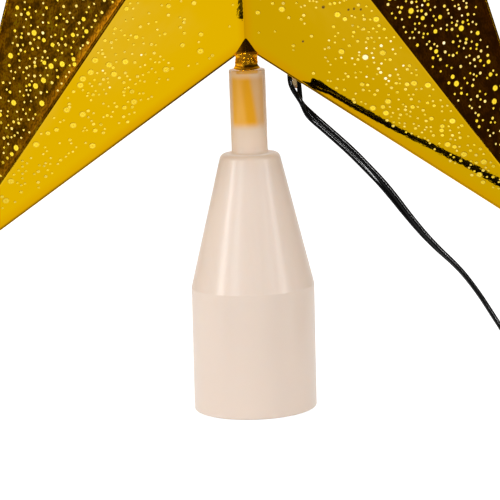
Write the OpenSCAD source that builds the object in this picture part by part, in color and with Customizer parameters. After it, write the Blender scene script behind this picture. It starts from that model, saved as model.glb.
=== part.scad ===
// Lighted christmas tree topper: a hollow five-armed star in gold metallised plastic on a frosted socket.
// Millimetres. +Z is up, and the star's front looks along -Y. The origin is the centre of the socket's
// open mouth, where a tree's tip or a spike goes in. The star's seam lies in the plane y = 0.

/* [Star shells] */
// Distance from the star's centre to the end of an arm, before the tip is blunted
tip_r = 131; // [118:1:150]
// Distance from the star's centre to a valley between two arms
valley_r = 53; // [47:1:62]
// Distance from the seam plane to the raised centre of each shell
half_depth = 55; // [42:1:66]
// Wall of each shell, measured square to a facet
shell_wall = 1.4; // [1:0.1:2.2]
// How far the seam lip stands out beyond the facets
lip_reach = 1; // [0.6:0.1:1.8]
// Thickness of one shell's half of the seam lip
lip_half_t = 0.7; // [0.4:0.1:1.2]
// How much of each arm's sharp lip is blunted off
tip_blunt = 1.2; // [0.6:0.1:3]
// Height of the locating tongue that the rear shell slips into the front shell
tongue_h = 1.6; // [1:0.1:2.6]
// Thickness of the locating tongue
tongue_t = 1; // [0.8:0.1:1.6]
// Gap between the tongue's crest and the front shell
tongue_gap = 0.15; // [0.1:0.05:0.3]

/* [Peg] */
// Diameter of the peg that turns in the socket's neck
peg_d = 5.2; // [4.4:0.1:6]
// Length of the peg inside the neck
peg_len = 12.6; // [9:0.1:18]
// Bevel on the peg's free end
peg_bevel = 0.6; // [0.3:0.1:1]
// Diameter of the peg's root, where it grows out of the star's valley
root_d = 5.9; // [5.5:0.1:7]
// How far the root runs up inside the star, above the valley
root_rise = 8; // [5:0.5:14]
// Bare height between the socket's neck and the star's valley
stub_h = 5.2; // [4:0.1:9]
// Depth of the lumpy weld beads round the stub
bead_depth = 0.2; // [0.1:0.05:0.3]

/* [Socket] */
// Outer diameter of the socket's straight skirt
skirt_d = 30.2; // [26:0.2:36]
// Height of the straight skirt
skirt_h = 30; // [20:0.5:40]
// Height of the cone between the skirt and the shoulder
cone_h = 32; // [22:0.5:42]
// Outer diameter of the cone's top, measured where its rounded shoulder begins
shoulder_d = 14.6; // [12:0.2:18]
// Radius of the rounded shoulder
shoulder_round = 2.2; // [1:0.1:2.6]
// Outer diameter of the neck
neck_d = 8.4; // [8:0.1:9.6]
// Height of the neck above the shoulder
neck_h = 21.3; // [18:0.1:28]
// Wall of the skirt and cone
socket_wall = 1.5; // [1.1:0.1:2.2]
// Radial running gap between the peg and the neck's bore
peg_gap = 0.05; // [0.02:0.01:0.1]
// Gap under the stub, where the star's weight sits on the neck's rim
rim_gap = 0.1; // [0.05:0.05:0.3]
// Radius at the edge between skirt and cone
waist_round = 1.2; // [0.4:0.1:2]
// Radius on the mouth's edges
mouth_round = 0.4; // [0.2:0.1:0.6]

/* [Lamps] */
// Diameter of an LED's epoxy body
led_d = 5; // [4.6:0.1:5.4]
// Length of an LED's straight body, without its dome
led_body = 5.3; // [4:0.1:7]
// Diameter of the rim at an LED's base
led_rim_d = 5.8; // [5.6:0.1:6]
// Thickness of that rim
led_rim_t = 0.8; // [0.6:0.1:1.2]
// Side of the square steel leads
lead_side = 0.5; // [0.4:0.05:0.6]
// Distance between the two leads of one LED
lead_pitch = 2.54; // [2.2:0.02:2.8]
// Length of the leads behind the LED
lead_len = 7; // [5:0.5:7.5]
// Outer diameter of a lamp holder
holder_d = 7; // [6.8:0.1:7.6]
// Length of a lamp holder
holder_len = 13; // [12:0.5:15]
// Depth of the seat for the LED's rim in the holder's mouth
holder_seat = 2; // [1.2:0.1:2.5]
// Diameter of the holder's rear bore, which the leads and wires share
holder_bore = 4; // [3.8:0.1:4.6]
// Gap round an LED in its holder and round a holder in its clip
clip_gap = 0.05; // [0.03:0.01:0.15]
// Diameter of the forked head of each clip post on the rear shell
post_d = 11; // [10:0.5:13]
// Thickness of the crossed ribs that carry each head
post_rib = 1.6; // [1.2:0.1:2.2]
// How far each tooth of the fork reaches over the holder
clip_bite = 0.3; // [0.1:0.05:0.5]
// How far a clip reaches past the holder's axis to grip it
clip_reach = 1.2; // [0.8:0.1:2]

/* [Cord] */
// Width of the flat twin cord
cord_w = 2.4; // [2:0.1:2.8]
// Diameter of one wire of the cord, and so the cord's thickness
wire_d = 1.2; // [1:0.05:1.4]
// Place of the cord's exit, measured from the valley along the lower edge of the right lower arm
exit_along = 13.6; // [11:0.2:20]
// Distance between the two wires where they pass the seam
exit_pitch = 1.6; // [1.5:0.1:2]
// Radial gap round each wire in its hole
exit_gap = 0.1; // [0.05:0.05:0.2]
// Free gap between the two single wires, side by side
pair_gap = 0.1; // [0.05:0.05:0.2]
// Radius of the drop of glue over the exit
glue_r = 2; // [1.6:0.1:2.6]
// Radius of the glue's tail, which runs down over the wires
glue_tail_r = 1.5; // [1.3:0.1:1.8]
// Free gap between neighbouring turns of the coil
coil_gap = 0.55; // [0.5:0.05:0.8]
// Radius of the coil at mid-turn
coil_mid_r = 13.2; // [12:0.2:15]
// Width of the tie round the coil
tie_w = 4; // [3:0.2:5]
// Thickness of the tie
tie_t = 0.6; // [0.4:0.1:0.8]
// Gap between the tie and the bundle
tie_gap = 0.3; // [0.2:0.05:0.5]
// Length of the tie's twisted ends
tie_tail = 8; // [5:0.5:12]

/* [Plug] */
// Width of the plug's grip
grip_w = 15.7; // [14.5:0.1:17]
// Thickness of the grip
grip_t = 8; // [7:0.1:9]
// Length of the grip
grip_len = 21; // [19:0.5:24]
// Corner radius of the grip's outline
grip_round = 2; // [1:0.1:3]
// Depth of the finger grooves across the grip
groove_depth = 0.5; // [0.3:0.1:0.7]
// Width of each finger groove
groove_w = 1; // [0.8:0.1:1.2]
// Length of the ribbed boot between cord and grip
relief_len = 8; // [6:0.5:12]
// Diameter of the boot at the grip
relief_d = 6.4; // [5.6:0.1:7]
// Diameter of the boot where the cord comes out
relief_tip_d = 4.2; // [3.8:0.1:5]
// Depth of the boot's grooves
relief_groove = 0.5; // [0.3:0.1:0.7]
// Width of the plug's metal shell
usb_w = 12; // [12:0.05:12.2]
// Height of the plug's metal shell
usb_t = 4.5; // [4.5:0.05:4.6]
// Length of the metal shell that stands out of the grip
usb_len = 18.75; // [17:0.25:19]
// Sheet thickness of the metal shell
usb_wall = 0.3; // [0.25:0.05:0.4]
// Depth of the shell's seat in the grip
usb_seat = 5; // [4:0.5:6]
// Thickness of the insulating tongue in the shell
insert_t = 1.9; // [1.7:0.05:2]
// Thickness of the plug's circuit board
board_t = 1; // [0.8:0.1:1.2]
// Length of the plug's circuit board
board_len = 9; // [7:0.5:10]

/* [Hidden] */
$fn = 96;

// Overrun of every cut past the face that it leaves through
cut = 1;

// Star: five arms, an odd number, so one valley hangs straight over the socket
arms = 5;
arm_step = 360 / arms;
neck_top_z = skirt_h + cone_h + neck_h;
valley_z = neck_top_z + stub_h;
star_z = valley_z + valley_r;
edge_r = edge_distance(tip_r, valley_r);
facet_share = 1 - lip_reach / edge_r;
facet_edge_r = edge_r * facet_share;
facet_plane_r = half_depth * facet_edge_r / norm([half_depth, facet_edge_r]);
cavity_share = 1 - shell_wall / facet_plane_r;
facet_slope = half_depth / facet_edge_r;
tongue_out_r = facet_edge_r * cavity_share - tongue_h / facet_slope - tongue_gap;
tongue_root = tongue_h + tongue_gap * facet_slope + shell_wall;
right_edge = unit(star_point(arms + 1, tip_r, valley_r) - star_point(arms, tip_r, valley_r));

// Peg
peg_r = peg_d / 2;
root_r = root_d / 2;
stub_foot_z = neck_top_z + rim_gap;
stub_beads = 3;
bead_steps = 18;

// Socket
skirt_r = skirt_d / 2;
neck_r = neck_d / 2;
tree_bore_r = skirt_r - socket_wall;
neck_bore_r = peg_r + peg_gap;
shoulder_z = skirt_h + cone_h;
neck_foot_round = socket_wall / 3;
fillet_steps = 6;

// Lamps: every second one sits in an arm and looks out, and the others sit over the valleys and look in
lamp_count = 2 * arms;
arm_lamp_share = 0.5;
valley_lamp_share = 0.55;
arm_lamp_r = tip_r * arm_lamp_share;
valley_lamp_r = valley_r * valley_lamp_share;
first_lamp_angle = 270 + arm_step / 2;
led_base = holder_len / 2 - holder_seat;
cable_end = led_base - lead_len;
pair_offset = (wire_d + pair_gap) / 2;
cable_bow = cord_w * 6;
cable_steps = 10;

// Cord: route of the free stretch from the wires' fork to the coil, in round numbers. The first and last
// points only give the direction in which the stretch starts and ends.
fork_guide = [11.5, 0, 78];
lead_route = [fork_guide, [13, 0, 75.5], [15.5, 0, 72], [19, 0, 67.5], [23.5, 0, 63], [27.5, 0, 60],
    [31, 0, 56], [34, 0, 52], [36.5, 0, 48], [38.5, 0, 44.5], [41.5, 0, 41], [45.5, 0, 37.5],
    [49.5, 0, 33.5], [53, 0, 29], [56, 0, 24.5], [59, -0.5, 19.5], [62, -2, 14.5], [66, -6, 9.5],
    [70, -12.5, 5.5], [74, -20.5, 3.2], [78.5, -28, 2.3]];
lead_rings_per_span = 2;
lead_twist = 50;
tube_sides = 8;
wire_sides = 6;

// Coil: four layers of four loops and a quarter, flat side to flat side, on the plane z = 0
coil_layers = 4;
coil_loops = 4;
coil_turns = coil_layers * coil_loops + 0.25;
coil_rings = 24;
coil_sides = 6;
coil_start_angle = -90;
coil_centre = [88, -16];
turn_pitch = wire_d + coil_gap;
layer_pitch = cord_w + coil_gap;
coil_out_r = coil_mid_r + turn_pitch * coil_loops / 2;
coil_in_r = coil_out_r - turn_pitch * coil_loops;
coil_base_z = tie_t + 2 * tie_gap + cord_w / 2;
coil_entry = [coil_centre[0] - cord_w, coil_centre[1] - coil_out_r, coil_base_z];
coil_exit = [coil_centre[0] + coil_radius(coil_turns), coil_centre[1] + cord_w, coil_height(coil_turns)];
tie_angle = 135;
tie_twist = 540;
tie_slices = 24;
tie_tail_share = 0.8;

// Plug: it lies on the plane z = 0 beside the coil and points along +Y
plug_gap_y = 15;
plug_y = coil_exit[1] + plug_gap_y;
plug_x = coil_exit[0];
plug_z = grip_t / 2;
tail_spans = 12;
tail_bow = plug_gap_y / 2;
grooves = 5;
relief_grooves = 4;
board_cavity_t = usb_t - 2 * usb_wall;
board_cavity_w = usb_w - 2 * usb_wall;
insert_gap = 0.05;
insert_mouth = 0.6;
contact_w = 1;
contact_t = 0.25;
contact_len = 9;
contact_pitch = 2.4;
window_w = 2.2;
window_from_mouth = 5.2;
resistor_w = 3.2;
resistor_t = 0.6;
resistor_len = 1.6;

// Vector and outline helpers
function unit(v) = v / norm(v);
function lerp(a, b, share) = a + (b - a) * share;
function smooth(x) = let (c = min(max(x, 0), 1)) c * c * (3 - 2 * c);
function polar(r, angle) = r * [cos(angle), sin(angle)];

// Points of a star outline, an arm's tip first, anticlockwise
function star_point(i, tip, valley) = polar(i % 2 == 0 ? tip : valley, 90 + i * arm_step / 2);
function star_outline(share = 1) =
    [for (i = [0 : 2 * arms - 1]) star_point(i, tip_r * share, valley_r * share)];

// Distance from the centre to the line between a tip and a valley
function edge_distance(tip, valley) =
    tip * valley * sin(arm_step / 2)
    / norm([tip - valley * cos(arm_step / 2), valley * sin(arm_step / 2)]);

// A point of the star's own plane in the part's frame, y_front ahead of the seam
function in_star(p, y_front = 0) = [p[0], -y_front, star_z + p[1]];

// Arc that rounds corner b between a and c
function fillet(a, b, c, r) = r <= 0 ? [b] :
    let (
        u = unit(a - b),
        v = unit(c - b),
        half = acos(u * v) / 2,
        centre = b + unit(u + v) * r / sin(half),
        from = b + u * r / tan(half) - centre,
        to = b + v * r / tan(half) - centre,
        start = atan2(from[1], from[0]),
        turn = atan2(from[0] * to[1] - from[1] * to[0], from * to)
    )
    [for (i = [0 : fillet_steps]) centre + polar(r, start + turn * i / fillet_steps)];

// Outline with a radius at each corner; a corner is [x, y, radius]
function rounded(corners) =
    let (n = len(corners), p = [for (c = corners) [c[0], c[1]]])
    [for (i = [0 : n - 1]) each fillet(p[(i + n - 1) % n], p[i], p[(i + 1) % n], corners[i][2])];

// Ring of a tube: u and v are square to its run, with u x v along it
function ring(centre, u, v, half_u, half_v, sides) =
    [for (k = [0 : sides - 1]) let (a = 360 * (k + 0.5) / sides)
        centre + u * half_u * cos(a) + v * half_v * sin(a)];

// Triangles of a tube through its rings, with both ends closed
function tube_faces(rings, sides) = concat(
    [for (k = [1 : sides - 2]) [0, k, k + 1]],
    [for (i = [0 : rings - 2], k = [0 : sides - 1]) let (a = i * sides + k, b = i * sides + (k + 1) % sides)
        each [[a, a + sides, b + sides], [a, b + sides, b]]],
    let (z = (rings - 1) * sides) [for (k = [1 : sides - 2]) [z, z + k + 1, z + k]]);

module tube(rings) {
    sides = len(rings[0]);
    polyhedron([for (r = rings) each r], tube_faces(len(rings), sides), convexity = 10);
}

// Point of a smooth curve through four neighbours, between the second and the third
function curve_point(p, i, t) =
    let (a = p[i - 1], b = p[i], c = p[i + 1], d = p[i + 2])
    (2 * b + (c - a) * t + (2 * a - 5 * b + 4 * c - d) * t * t + (3 * b - a - 3 * c + d) * t * t * t) / 2;

// All points of a curve through a route, whose first and last points are guides
function curve(p, per_span) = concat(
    [for (i = [1 : len(p) - 3], s = [0 : per_span - 1]) curve_point(p, i, s / per_span)],
    [p[len(p) - 2]]);

// Cubic arc from a to d with handles b and c
function bezier(a, b, c, d, steps) =
    [for (i = [0 : steps]) let (t = i / steps, s = 1 - t)
        s * s * s * a + 3 * s * s * t * b + 3 * s * t * t * c + t * t * t * d];

// Rings along a list of points, kept square to the run, with the wide side turned from side_ref by a twist
function rings_along(p, start_dir, end_dir, ref, half_u, half_v, sides, twist) =
    let (last = len(p) - 1)
    [for (i = [0 : last])
        let (
            run = i == 0 ? start_dir : i == last ? end_dir : unit(p[i + 1] - p[i - 1]),
            flat = unit(cross(run, ref)),
            up = cross(run, flat),
            a = twist[0] + (twist[1] - twist[0]) * i / last + twist[2] * sin(180 * i / last),
            u = flat * cos(a) + up * sin(a)
        )
        ring(p[i], u, cross(run, u), half_u, half_v, sides)];

// Pyramid over the star's outline, the raised form of one shell; below extends its slopes under the seam
module star_pyramid(share, height, below = 0) {
    base = star_outline(share * (height + below) / height);
    n = len(base);
    points = concat([[0, 0, height]], [for (p = base) [p[0], p[1], -below]]);
    faces = concat(
        [[for (i = [1 : n]) i]],
        [for (i = [1 : n]) [0, i % n + 1, i]]);
    polyhedron(points, faces, convexity = 6);
}

// Lip round the seam, with each arm's end blunted
module lip_outline() {
    intersection() {
        polygon(star_outline());
        circle(r = tip_r - tip_blunt);
    }
}

// Turns the star's own plane upright, with its +Z to the front
module upright() {
    translate([0, 0, star_z]) rotate([90, 0, 0]) children();
}

// Outside of one shell in the star's own plane
module shell_outside() {
    star_pyramid(facet_share, half_depth);
    linear_extrude(lip_half_t) lip_outline();
}

// One hollow shell in the star's own plane
module shell_body() {
    difference() {
        shell_outside();
        star_pyramid(facet_share * cavity_share, half_depth * cavity_share, cut / 4);
    }
}

// Whole peg: bevelled end, shank, lumpy welded stub and plain root inside the valley
module peg() {
    foot_z = neck_top_z - peg_len;
    stub = [for (i = [0 : bead_steps]) let (share = i / bead_steps)
        [lerp(peg_r + peg_gap * 2, root_r, share) + bead_depth * abs(sin(180 * stub_beads * share)) * (1 - share),
            lerp(stub_foot_z, valley_z - bead_depth, share)]];
    rotate_extrude() polygon(concat(
        [[0, foot_z], [peg_r - peg_bevel, foot_z], [peg_r, foot_z + peg_bevel], [peg_r, stub_foot_z]],
        stub,
        [[root_r, valley_z + root_rise], [0, valley_z + root_rise]]));
}

// One half of the peg, ahead of the seam (+1) or behind it (-1)
module half_peg(side) {
    big = 2 * (root_d + bead_depth);
    intersection() {
        peg();
        translate([-big / 2, side > 0 ? -big : 0, 0]) cube([big, big, star_z]);
    }
}

// The two round holes through which the wires cross the seam, straight up into the arm
module exit_holes() {
    for (x = exit_x)
        translate([x, 0, valley_z + right_edge[1] * exit_along - glue_r])
            cylinder(r = wire_d / 2 + exit_gap, h = 2 * glue_r + (lip_reach + shell_wall) * 3);
}

exit_mid_x = right_edge[0] * exit_along;
exit_x = [exit_mid_x - exit_pitch / 2, exit_mid_x + exit_pitch / 2];
exit_z = valley_z + right_edge[1] * exit_along;
hole_top_z = exit_z + (lip_reach + shell_wall) * 2;

// Places its children at lamp j, with +Z along the way that the lamp looks
function lamp_angle(j) = first_lamp_angle + j * arm_step / 2;
function lamp_in_arm(j) = j % 2 == 0;
function lamp_r(j) = lamp_in_arm(j) ? arm_lamp_r : valley_lamp_r;
module at_lamp(j) {
    translate(in_star(polar(lamp_r(j), lamp_angle(j))))
        rotate([0, 90 - lamp_angle(j) + (lamp_in_arm(j) ? 0 : 180), 0]) children();
}

// Socket: skirt, cone, rounded shoulder and neck, turned as one hollow moulding
module tree_socket() {
    roof_z = shoulder_z - socket_wall;
    cone_in_r = shoulder_d / 2 - socket_wall;
    color("antiquewhite") rotate_extrude() polygon(rounded([
        [skirt_r, 0, mouth_round],
        [skirt_r, skirt_h, waist_round],
        [shoulder_d / 2, shoulder_z, shoulder_round],
        [neck_r, shoulder_z, neck_foot_round],
        [neck_r, neck_top_z, mouth_round],
        [neck_bore_r, neck_top_z, mouth_round],
        [neck_bore_r, roof_z, mouth_round],
        [cone_in_r, roof_z, mouth_round],
        [tree_bore_r, skirt_h, 0],
        [tree_bore_r, 0, 0]]));
}

// Front shell: hollow pyramid, its half of the lip and the front half of the peg
module front_shell() {
    color("goldenrod") difference() {
        union() {
            upright() shell_body();
            half_peg(1);
        }
        exit_holes();
    }
}

// Ring that locates the two shells, open round the peg and the wires
module locating_tongue() {
    difference() {
        translate([0, 0, -tongue_h]) linear_extrude(tongue_h + tongue_root) difference() {
            polygon(star_outline(tongue_out_r / edge_r));
            polygon(star_outline((tongue_out_r - tongue_t) / edge_r));
        }
        star_shoulder_cut();
    }
}

// Room in the tongue for the front half of the peg and for the wires
module star_shoulder_cut() {
    reach = root_r + shell_wall;
    translate([-reach, -valley_r - cut, -tongue_h - cut])
        cube([exit_mid_x + exit_pitch + reach + wire_d, root_rise + 2 * reach, tongue_h + cut]);
}

// Moulded posts on crossed ribs, whose forked heads grip the lamp holders
module clip_posts() {
    bore_r = holder_d / 2 + clip_gap;
    mouth = holder_d - 2 * clip_bite;
    for (j = [0 : lamp_count - 1])
        difference() {
            translate(in_star(polar(lamp_r(j), lamp_angle(j)), clip_reach))
                rotate([-90, 0, 0]) rotate([0, 0, -lamp_angle(j)]) {
                    cylinder(d = post_d, h = clip_reach + bore_r + post_rib);
                    translate([-post_d / 2, -post_rib / 2, clip_reach])
                        cube([post_d, post_rib, half_depth]);
                    translate([-post_rib / 2, -post_d / 2, clip_reach])
                        cube([post_rib, post_d, half_depth]);
                }
            at_lamp(j) {
                cylinder(r = bore_r, h = 2 * post_d, center = true);
                translate([-mouth / 2, -holder_d - clip_reach, -post_d])
                    cube([mouth, holder_d + clip_reach, 2 * post_d]);
            }
        }
}

// Rear shell: hollow pyramid, lip, rear half of the peg, locating tongue and clip posts
module rear_shell() {
    mid_share = (1 + cavity_share) / 2;
    color("darkgoldenrod") difference() {
        union() {
            upright() mirror([0, 0, 1]) shell_body();
            upright() mirror([0, 0, 1]) locating_tongue();
            half_peg(-1);
            intersection() {
                clip_posts();
                upright() mirror([0, 0, 1])
                    star_pyramid(facet_share * mid_share, half_depth * mid_share, 2 * clip_reach);
            }
        }
        exit_holes();
    }
}

// Holder of one lamp: a sleeve with a seat for the LED's rim and a narrower bore for the wires
module lamp_holders() {
    color("gainsboro") for (j = [0 : lamp_count - 1]) at_lamp(j) difference() {
        cylinder(d = holder_d, h = holder_len, center = true);
        translate([0, 0, led_base]) cylinder(d = led_rim_d + 2 * clip_gap, h = holder_seat + cut);
        translate([0, 0, -holder_len / 2 - cut]) cylinder(d = holder_bore, h = holder_len + cut);
    }
}

// Epoxy bodies of the LEDs, with a domed end
module led_lenses() {
    color("lightyellow") for (j = [0 : lamp_count - 1]) at_lamp(j) translate([0, 0, led_base]) {
        cylinder(d = led_rim_d, h = led_rim_t);
        cylinder(d = led_d, h = led_rim_t + led_body);
        translate([0, 0, led_rim_t + led_body]) sphere(d = led_d);
    }
}

// Two square leads under each LED
module led_leads() {
    color("silver") for (j = [0 : lamp_count - 1], side = [-1, 1]) at_lamp(j)
        translate([-lead_side / 2, (side * lead_pitch - lead_side) / 2, cable_end])
            cube([lead_side, lead_side, lead_len]);
}

// Place of a cable's end in lamp j's holder: behind the leads, beside the lamp's axis
function lamp_out(j) = polar(lamp_in_arm(j) ? -1 : 1, lamp_angle(j));
function lamp_side(j) = polar(1, lamp_angle(j) + 90);
function cable_root(j, side) =
    polar(lamp_r(j), lamp_angle(j)) - lamp_out(j) * cable_end + lamp_side(j) * side * pair_offset;
function cable_mouth(j, side) = cable_root(j, side) + lamp_out(j) * (cable_end + holder_len / 2);

// Flat cable from lamp to lamp, one S-shaped run between each two holders
module lamp_cable() {
    color("black") for (j = [0 : lamp_count - 2]) {
        from = cable_mouth(j, 1);
        to = cable_mouth(j + 1, -1);
        arc = bezier(from, from + lamp_out(j) * cable_bow, to + lamp_out(j + 1) * cable_bow, to, cable_steps);
        run = [for (p = concat([cable_root(j, 1)], arc, [cable_root(j + 1, -1)])) in_star(p)];
        out = lamp_out(j);
        back = lamp_out(j + 1);
        tube(rings_along(run, [out[0], 0, out[1]], [-back[0], 0, -back[1]], [0, 1, 0],
            wire_d / 2, cord_w / 2, wire_sides, [0, 0, 0]));
    }
}

// The cord's two single wires, from the fork outside, through the seam, to the first lamp
fork_dir = unit(lead_route[2] - lead_route[0]);
fork_side = [-fork_dir[2], 0, fork_dir[0]];
module wire_tails() {
    color("black") for (i = [0, 1]) {
        side = i == 0 ? -1 : 1;
        fork = lead_route[1] + fork_side * side * pair_offset;
        sill = [exit_x[i], 0, exit_z];
        lintel = [exit_x[i], 0, hole_top_z];
        depth = -side * pair_offset;
        root = cable_root(0, -1);
        mouth = cable_mouth(0, -1);
        handle = mouth + lamp_out(0) * cable_bow;
        outside = bezier(fork, fork - fork_dir * wire_d * 2, sill - [0, 0, wire_d], sill, cable_steps / 2);
        inside = bezier(lintel, lintel + [0, -depth, cable_bow], in_star(handle, depth), in_star(mouth, depth),
            cable_steps);
        tube(rings_along(concat(outside, inside, [in_star(root, depth)]), -fork_dir,
            unit(in_star(root) - in_star(mouth)), [0, 1, 0], wire_d / 2, wire_d / 2, wire_sides, [0, 0, 0]));
    }
}

// Drop of clear glue that seals the exit, moulded to the lip, with the wires running through it
module exit_glue() {
    color("lightgray", 0.5) difference() {
        union() {
            translate([exit_mid_x, 0, exit_z]) sphere(r = glue_r);
            translate([exit_x[1], 0, exit_z - glue_tail_r]) sphere(r = glue_tail_r);
        }
        upright() {
            shell_outside();
            mirror([0, 0, 1]) shell_outside();
        }
        wire_tails();
    }
}

// Free stretch of the flat cord, from the fork down past the star's arm to the coil
module cord_lead() {
    route = concat(lead_route, [coil_entry, coil_entry + [cord_w, 0, 0]]);
    color("black") tube(rings_along(curve(route, lead_rings_per_span), fork_dir, [1, 0, 0], [0, 1, 0],
        cord_w / 2, wire_d / 2, tube_sides, [0, 0, lead_twist]));
}

// Coil: radius and height after t turns; each layer spirals in or out, and climbs where it reverses
function coil_radius(t) =
    let (layer = min(floor(t / coil_loops), coil_layers - 1), u = t - layer * coil_loops)
    layer % 2 == 0 ? coil_out_r - turn_pitch * u : coil_in_r + turn_pitch * u;
function coil_height(t) =
    coil_base_z + layer_pitch * sum_of([for (k = [1 : coil_layers - 1]) smooth(2 * (t - k * coil_loops) + 0.5)]);
function sum_of(v, i = 0) = i < len(v) ? v[i] + sum_of(v, i + 1) : 0;
function coil_section(t, sides) =
    let (a = coil_start_angle + 360 * t, out = [cos(a), sin(a), 0])
    ring([coil_centre[0], coil_centre[1], coil_height(t)] + out * coil_radius(t), out, [0, 0, -1],
        wire_d / 2, cord_w / 2, sides);
coil_sections = [for (i = [0 : coil_rings * coil_turns]) coil_section(i / coil_rings, coil_sides)];

module cord_coil() {
    entry = [for (p = coil_sections[0]) p - [cord_w, 0, 0]];
    leave = [for (p = coil_sections[len(coil_sections) - 1]) p + [0, cord_w, 0]];
    color("black") tube(concat([entry], coil_sections, [leave]));
}

// Least gap between two turns, measured between points along the sides of the tube's sections
function side_points(s) = [for (k = [0 : len(s) - 1], m = [0 : 2]) lerp(s[k], s[(k + 1) % len(s)], m / 3)];
function section_gap(a, b) = min([for (p = side_points(a), q = side_points(b)) norm(p - q)]);
coil_least_gap = min([for (i = [0 : len(coil_sections) - 1 - coil_rings])
    min([for (k = [i + coil_rings : coil_rings : len(coil_sections) - 1])
        if (norm(coil_sections[i][0] - coil_sections[k][0]) < 2 * layer_pitch)
            section_gap(coil_sections[i], coil_sections[k])])]);
echo(str("cord_coil: least gap to itself ", coil_least_gap, " mm"));

// Tie: a flat band round the bundle, with its two ends twisted together
module band_outline(low, high, base, top, r) {
    polygon(rounded([[low, base, r], [high, base, r], [high, top, r], [low, top, r]]));
}
module coil_tie() {
    low = sqrt(pow(coil_in_r - wire_d / 2, 2) - pow(tie_w / 2, 2)) - tie_gap;
    high = coil_out_r + wire_d / 2 + tie_gap;
    base = coil_base_z - cord_w / 2 - tie_gap;
    top = coil_base_z + (coil_layers - 1) * layer_pitch + cord_w / 2 + tie_gap;
    color("dimgray") translate([coil_centre[0], coil_centre[1], 0]) rotate([0, 0, tie_angle]) {
        rotate([90, 0, 0]) linear_extrude(tie_w, center = true) difference() {
            band_outline(low - tie_t, high + tie_t, base - tie_t, top + tie_t, 2 * tie_t);
            band_outline(low, high, base, top, tie_t);
        }
        translate([high + tie_t / 2, 0, (base + top) / 2]) rotate([0, 90, 0])
            linear_extrude(tie_tail, twist = tie_twist, slices = tie_slices, segments = 4)
                square([tie_w * tie_tail_share, 2 * tie_t], center = true);
    }
}

// Short stretch from the coil's top layer down to the plug
module cord_tail() {
    end = [plug_x, plug_y, plug_z];
    run = bezier(coil_exit, coil_exit + [0, tail_bow, 0], end - [0, tail_bow, 0], end, tail_spans);
    color("black") tube(rings_along(run, [0, 1, 0], [0, 1, 0], [1, 0, 0],
        cord_w / 2, wire_d / 2, tube_sides, [0, 90, 0]));
}

// Plug: places its children with +Z along the plug, from the cord to the mouth
module at_plug(along = 0) {
    translate([plug_x, plug_y + along, plug_z]) rotate([-90, 0, 0]) children();
}

// Ribbed boot between the cord and the grip
module plug_relief() {
    pitch = relief_len / (relief_grooves + 1);
    color("black") at_plug() difference() {
        cylinder(d1 = relief_tip_d, d2 = relief_d, h = relief_len);
        for (i = [1 : relief_grooves])
            translate([0, 0, i * pitch - pitch / 4]) {
                outer_r = lerp(relief_tip_d, relief_d, i / (relief_grooves + 1)) / 2;
                difference() {
                    cylinder(r = relief_d, h = pitch / 2);
                    translate([0, 0, -cut]) cylinder(r = outer_r - relief_groove, h = pitch + 2 * cut);
                }
            }
    }
}

module rounded_rect(w, t, r) {
    square([w - 2 * r, t], center = true);
    square([w, t - 2 * r], center = true);
    for (x = [-1, 1], y = [-1, 1]) translate([x * (w / 2 - r), y * (t / 2 - r)]) circle(r = r);
}

// Grip, with finger grooves, the seat of the metal shell and the board's pocket behind it
module plug_grip() {
    groove_pitch = grip_len / (grooves + 3);
    color("black") at_plug(relief_len) difference() {
        linear_extrude(grip_len) rounded_rect(grip_w, grip_t, grip_round);
        translate([0, 0, grip_len - usb_seat]) linear_extrude(usb_seat + cut)
            square([usb_w, usb_t], center = true);
        translate([0, 0, grip_len - usb_seat - board_len - board_t]) linear_extrude(board_len + board_t + cut)
            square([board_cavity_w, board_cavity_t], center = true);
        for (i = [1 : grooves], side = [-1, 1])
            translate([-grip_w / 2 - cut, side * (grip_t / 2 - groove_depth / 2) - groove_depth, i * groove_pitch])
                cube([grip_w + 2 * cut, 2 * groove_depth, groove_w]);
    }
}

// Folded metal shell with two latch windows in each wide side
module plug_shell() {
    length = usb_seat + usb_len;
    color("silver") at_plug(relief_len + grip_len - usb_seat) difference() {
        linear_extrude(length) difference() {
            square([usb_w, usb_t], center = true);
            square([usb_w - 2 * usb_wall, usb_t - 2 * usb_wall], center = true);
        }
        for (side = [-1, 1])
            translate([side * usb_w / 4 - window_w / 2, -usb_t, length - window_from_mouth - window_w])
                cube([window_w, 2 * usb_t, window_w]);
    }
}

// Insulating insert along the lower half of the shell
insert_w = usb_w - 2 * usb_wall - 2 * insert_gap;
insert_len = usb_seat + usb_len - insert_mouth;
insert_low_y = usb_t / 2 - usb_wall;
module plug_insert() {
    color("white") at_plug(relief_len + grip_len - usb_seat)
        translate([-insert_w / 2, insert_low_y - insert_t, 0]) cube([insert_w, insert_t, insert_len]);
}

// Four flat contacts on the insert
module plug_contacts() {
    color("gold") at_plug(relief_len + grip_len - usb_seat) for (i = [-1.5 : 1 : 1.5])
        translate([i * contact_pitch - contact_w / 2, insert_low_y - insert_t - contact_t,
            insert_len - contact_len - insert_mouth])
            cube([contact_w, contact_t, contact_len]);
}

// Small circuit board behind the insert, and the resistor that sets the lamps' current
board_z = relief_len + grip_len - usb_seat - board_len;
module plug_board() {
    color("seagreen") at_plug(board_z)
        translate([-board_cavity_w / 2 + insert_gap, board_cavity_t / 2 - board_t, 0])
            cube([board_cavity_w - 2 * insert_gap, board_t, board_len]);
}
module plug_resistor() {
    color("dimgray") at_plug(board_z)
        translate([-resistor_w / 2, board_cavity_t / 2 - board_t - resistor_t, board_len / 2])
            cube([resistor_w, resistor_t, resistor_len]);
}

tree_socket();
front_shell();
rear_shell();
lamp_holders();
led_lenses();
led_leads();
lamp_cable();
wire_tails();
exit_glue();
cord_lead();
cord_coil();
coil_tie();
cord_tail();
plug_relief();
plug_grip();
plug_shell();
plug_insert();
plug_contacts();
plug_board();
plug_resistor();
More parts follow.
